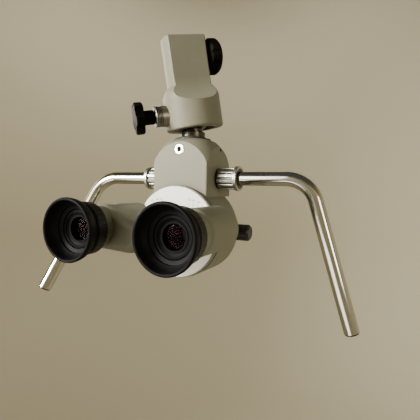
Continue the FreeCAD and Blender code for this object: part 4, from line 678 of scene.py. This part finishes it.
def white_plate(name, centre, axis):
    """A baked white finish, slightly yellowed in clouds."""
    material, shader = new_finish(name, DISC_WHITE, 0.34, coat_weight=0.1)
    place = place_on(material)
    lines = tool_lines(place, centre, axis, DISC_LINES)
    cloud = noise(place, 55, 4).between(0.35, 0.8)
    feed(material, shader, "Base Color", cloud.blend((*DISC_WHITE, 1), DISC_YELLOWED))
    feed(material, shader, "Roughness", 0.28 + cloud * 0.14)
    feed(material, shader, "Normal", bump(lines, 0.15, 0.03 * MM))
    return material


dress(white_plate("white_plate", head_middle, SIGHT), "light_disc")
bare = [name for name in nodes if not nodes[name].data.materials[0].use_nodes]
print("pieces left bare:", bare)


# %% [markdown]
# ## A smooth section
#
# A soft moulding has no straight lines. Its section is given by a few points, and a curve passes
# through all of them. A curve that bends toward its points without touching them would need every
# point moved outward first, so this one goes through them.
# %% Smooth a row of points
def smooth_line(points, steps):
    """Pass a smooth curve through points, with some steps from each point to the next."""
    line = []
    last = len(points) - 1
    for index in range(last):
        before = Vector(points[max(index - 1, 0)])
        start = Vector(points[index])
        end = Vector(points[index + 1])
        after = Vector(points[min(index + 2, last)])
        for step in range(steps):
            t = step / steps
            bend = (end - before) * t + (before * 2 - start * 5 + end * 4 - after) * t**2
            bend += (after - end * 3 + start * 3 - before) * t**3
            line.append(start + bend / 2)
    line.append(Vector(points[last]))
    return line


print("three points in steps of four give:", len(smooth_line([(0, 0), (1, 1), (2, 0)], 4)))


# %% [markdown]
# ## Rubber cups
#
# A soft cup stands on each focusing ring to keep stray light out of the eye. It is one moulding: a
# band that grips the ring, a groove, a flare and a fat rounded rim, with a small step inside. A
# cup like that is a turned form, so a row of points down its section is smoothed and spun round
# the eyepiece's axis. The points lie close together where the section turns sharply, because a
# smooth curve only keeps a corner that has points on both sides of it.
# %% Draw the cup's section
def cup_section(rim, length):
    """The cup's section in mm: points (radius, height), up the outside and down the inside."""
    outside = [(12.6, 0.7), (12.6, 0.05), (16.9, 0.02), (17.0, 0.15), (17.0, 1.5), (16.9, 1.65)]
    groove = [(16.42, 1.95), (16.4, 2.15), (16.85, 2.45), (17.05, 2.6)]
    flare = [(17.5, 3.6), (18.5, 4.8), (19.25, 6.1), (rim - 0.28, 8.0), (rim - 0.05, length - 1.6)]
    bead = [(rim - 0.1, length - 0.7), (rim - 0.6, length - 0.15), (rim - 1.15, length)]
    mouth = [(rim - 1.75, length - 0.2), (rim - 2.15, length - 0.9), (rim - 2.15, length - 1.8)]
    throat = [(17.65, 7.4), (17.3, 5.9), (16.4, 4.5), (15.3, 3.5), (15.02, 3.2)]
    floor = [(15.0, 2.4), (14.8, 2.15), (13.2, 1.65), (12.7, 1.55), (12.6, 1.4), (12.6, 0.7)]
    return outside + groove + flare + bead + mouth + throat + floor


print("points in the section:", len(cup_section(20, 12)))

# %% [markdown]
# ## Moulding the cups
#
# The CAD model holds each cup as a plain turned solid, which is right in size and place but has
# hard corners. The moulded cup takes its rim and its length from that solid's box, stands in its
# place and turns with the focusing ring, as the real one does.
# %% Mould the cups
CUP_SIDES = 128
CUP_STEPS = 4


def rubber_cup(side):
    """Mould one cup where its CAD solid stands."""
    low, high = (Vector(corner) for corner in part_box(f"eyecup_{side}"))
    rim = (high.x - low.x) / 2 / MM
    length = (high.y - low.y) / MM
    line = [tuple(point * MM) for point in smooth_line(cup_section(rim, length), CUP_STEPS)]
    cup = turned(f"rubber_cup_{side}", line, CUP_SIDES)
    foot = Vector(((low.x + high.x) / 2, high.y, (low.z + high.z) / 2))
    cup.matrix_world = Matrix.Translation(foot) @ Matrix.Rotation(math.radians(90), 4, "X")
    cup.data.materials.append(cup_rubber)
    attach(cup, f"focus_{side}")
    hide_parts(f"eyecup_{side}")
    return cup


cup_rubber = rubber("cup_rubber")
cups = [rubber_cup(side) for side in SIDES]
print("cup faces:", [len(cup.data.polygons) for cup in cups])

# %% [markdown]
# ## Ink on the disc
#
# Printed marks could be painted by a shader, but fine lines are sharper as shapes. Each is a thin
# plate two hundredths of a millimetre thick: thick enough not to flicker against the disc, and
# too thin to see from the side. The figures are in the plain font that a text curve starts with.
# %% Lay ink
INK_HEIGHT = 0.02 * MM
FIGURE_SIZE = 2.3 * MM


def ink_patch(form, corners):
    """Add a thin plate of ink on the disc, from its four corners in the disc's plane."""
    low = [form.verts.new((across, 0, rise)) for across, rise in corners]
    high = [form.verts.new((across, -INK_HEIGHT, rise)) for across, rise in corners]
    form.faces.new(high)
    form.faces.new(low[::-1])
    for index in range(4):
        after = (index + 1) % 4
        form.faces.new((low[index], low[after], high[after], high[index]))


def figure(form, words, spot, angle):
    """Add plain figures to a form, upright when the tube's edge points at them."""
    curve = bpy.data.curves.new("figure", "FONT")
    curve.body = words
    curve.size = FIGURE_SIZE
    curve.align_x = "CENTER"
    curve.align_y = "CENTER"
    curve.extrude = INK_HEIGHT / 2
    holder = bpy.data.objects.new("figure", curve)
    mesh = bpy.data.meshes.new_from_object(holder)
    facing = Matrix.Rotation(math.radians(90), 4, "X") @ Matrix.Rotation(angle, 4, "Z")
    mesh.transform(Matrix.Translation(spot) @ facing)
    form.from_mesh(mesh)
    bpy.data.objects.remove(holder)
    bpy.data.curves.remove(curve)
    bpy.data.meshes.remove(mesh)


print("ink in mm:", INK_HEIGHT / MM)

# %% [markdown]
# ## A scale between the eyepieces
#
# The tubes swing to suit the distance between the user's eyes, and the white disc carries a plain
# scale for it in millimetres. Each mark is printed where the tube's edge comes to lie for that
# distance, so its angle follows from the tube's arm, and the scale would stay true if the arm's
# length changed in the CAD model.
# %% Print the scale
EYE_DISTANCES = (55, 60, 65, 70)
EDGE_REACH = 14.2 * MM
TICK_IN = 19.2 * MM
TICK_OUT = 21.6 * MM
TICK_HALF_WIDTH = 0.11 * MM
FIGURE_AT = 23.6 * MM


def edge_angle(distance, pivot, arm):
    """The angle of the tube's edge when the eyes are that many mm apart."""
    across = (distance * MM / 2 - abs(pivot.x - head_middle[0])) / arm
    return math.acos(across) + math.asin(EDGE_REACH / TICK_OUT)


def mark(form, distance, centre, angle, sign):
    """Add one tick and its figure, at an angle about a tube's pivot."""
    out = Vector((sign * math.cos(angle), math.sin(angle)))
    aside = Vector((-out.y, out.x)) * TICK_HALF_WIDTH
    start = centre + out * TICK_IN
    end = centre + out * TICK_OUT
    ink_patch(form, (start - aside, end - aside, end + aside, start + aside))
    spot = centre + out * FIGURE_AT
    tilt = sign * (angle - math.radians(90))
    figure(form, str(distance), (spot.x, -INK_HEIGHT / 2, spot.y), tilt)


def eye_scale(side):
    """Ticks and figures round one tube's pivot."""
    pivot = Vector(joints[f"tube_swing_{side}"]["pos_m"])
    sign = 1 if side == "right" else -1
    eye = Vector(joints[f"focus_turn_{side}"]["pos_m"]) - pivot
    arm = math.hypot(eye.x, eye.z)
    form = bmesh.new()
    for distance in EYE_DISTANCES:
        mark(form, distance, Vector((pivot.x, pivot.z)), edge_angle(distance, pivot, arm), sign)
    bmesh.ops.recalc_face_normals(form, faces=form.faces)
    bmesh.ops.translate(form, verts=form.verts, vec=(0, disc_face, 0))
    scale = new_piece(f"eye_scale_{side}", form)
    scale.data.materials.append(ink)
    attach(scale, "head")
    return scale


disc_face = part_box("light_disc")[0][1]
ink = dull_black("scale_ink")
scales = [eye_scale(side) for side in SIDES]
print("scale faces:", [len(scale.data.polygons) for scale in scales])

# %% [markdown]
# ## The sweep's paper
#
# The paper stays out of the way. It gets a pale warm tone and the very faint tooth that paper
# has, and nothing else.
# %% Paper the sweep
PAPER_TOOTH = 300
paper, paper_shader = new_finish("paper", (0.66, 0.62, 0.475), 0.9)
tooth = noise(place_on(paper), PAPER_TOOTH, 3)
paper_tone = tooth.blend((0.64, 0.6, 0.46, 1), (0.68, 0.64, 0.49, 1))
feed(paper, paper_shader, "Base Color", paper_tone)
backdrop.data.materials.append(paper)
print("paper on:", backdrop.name)
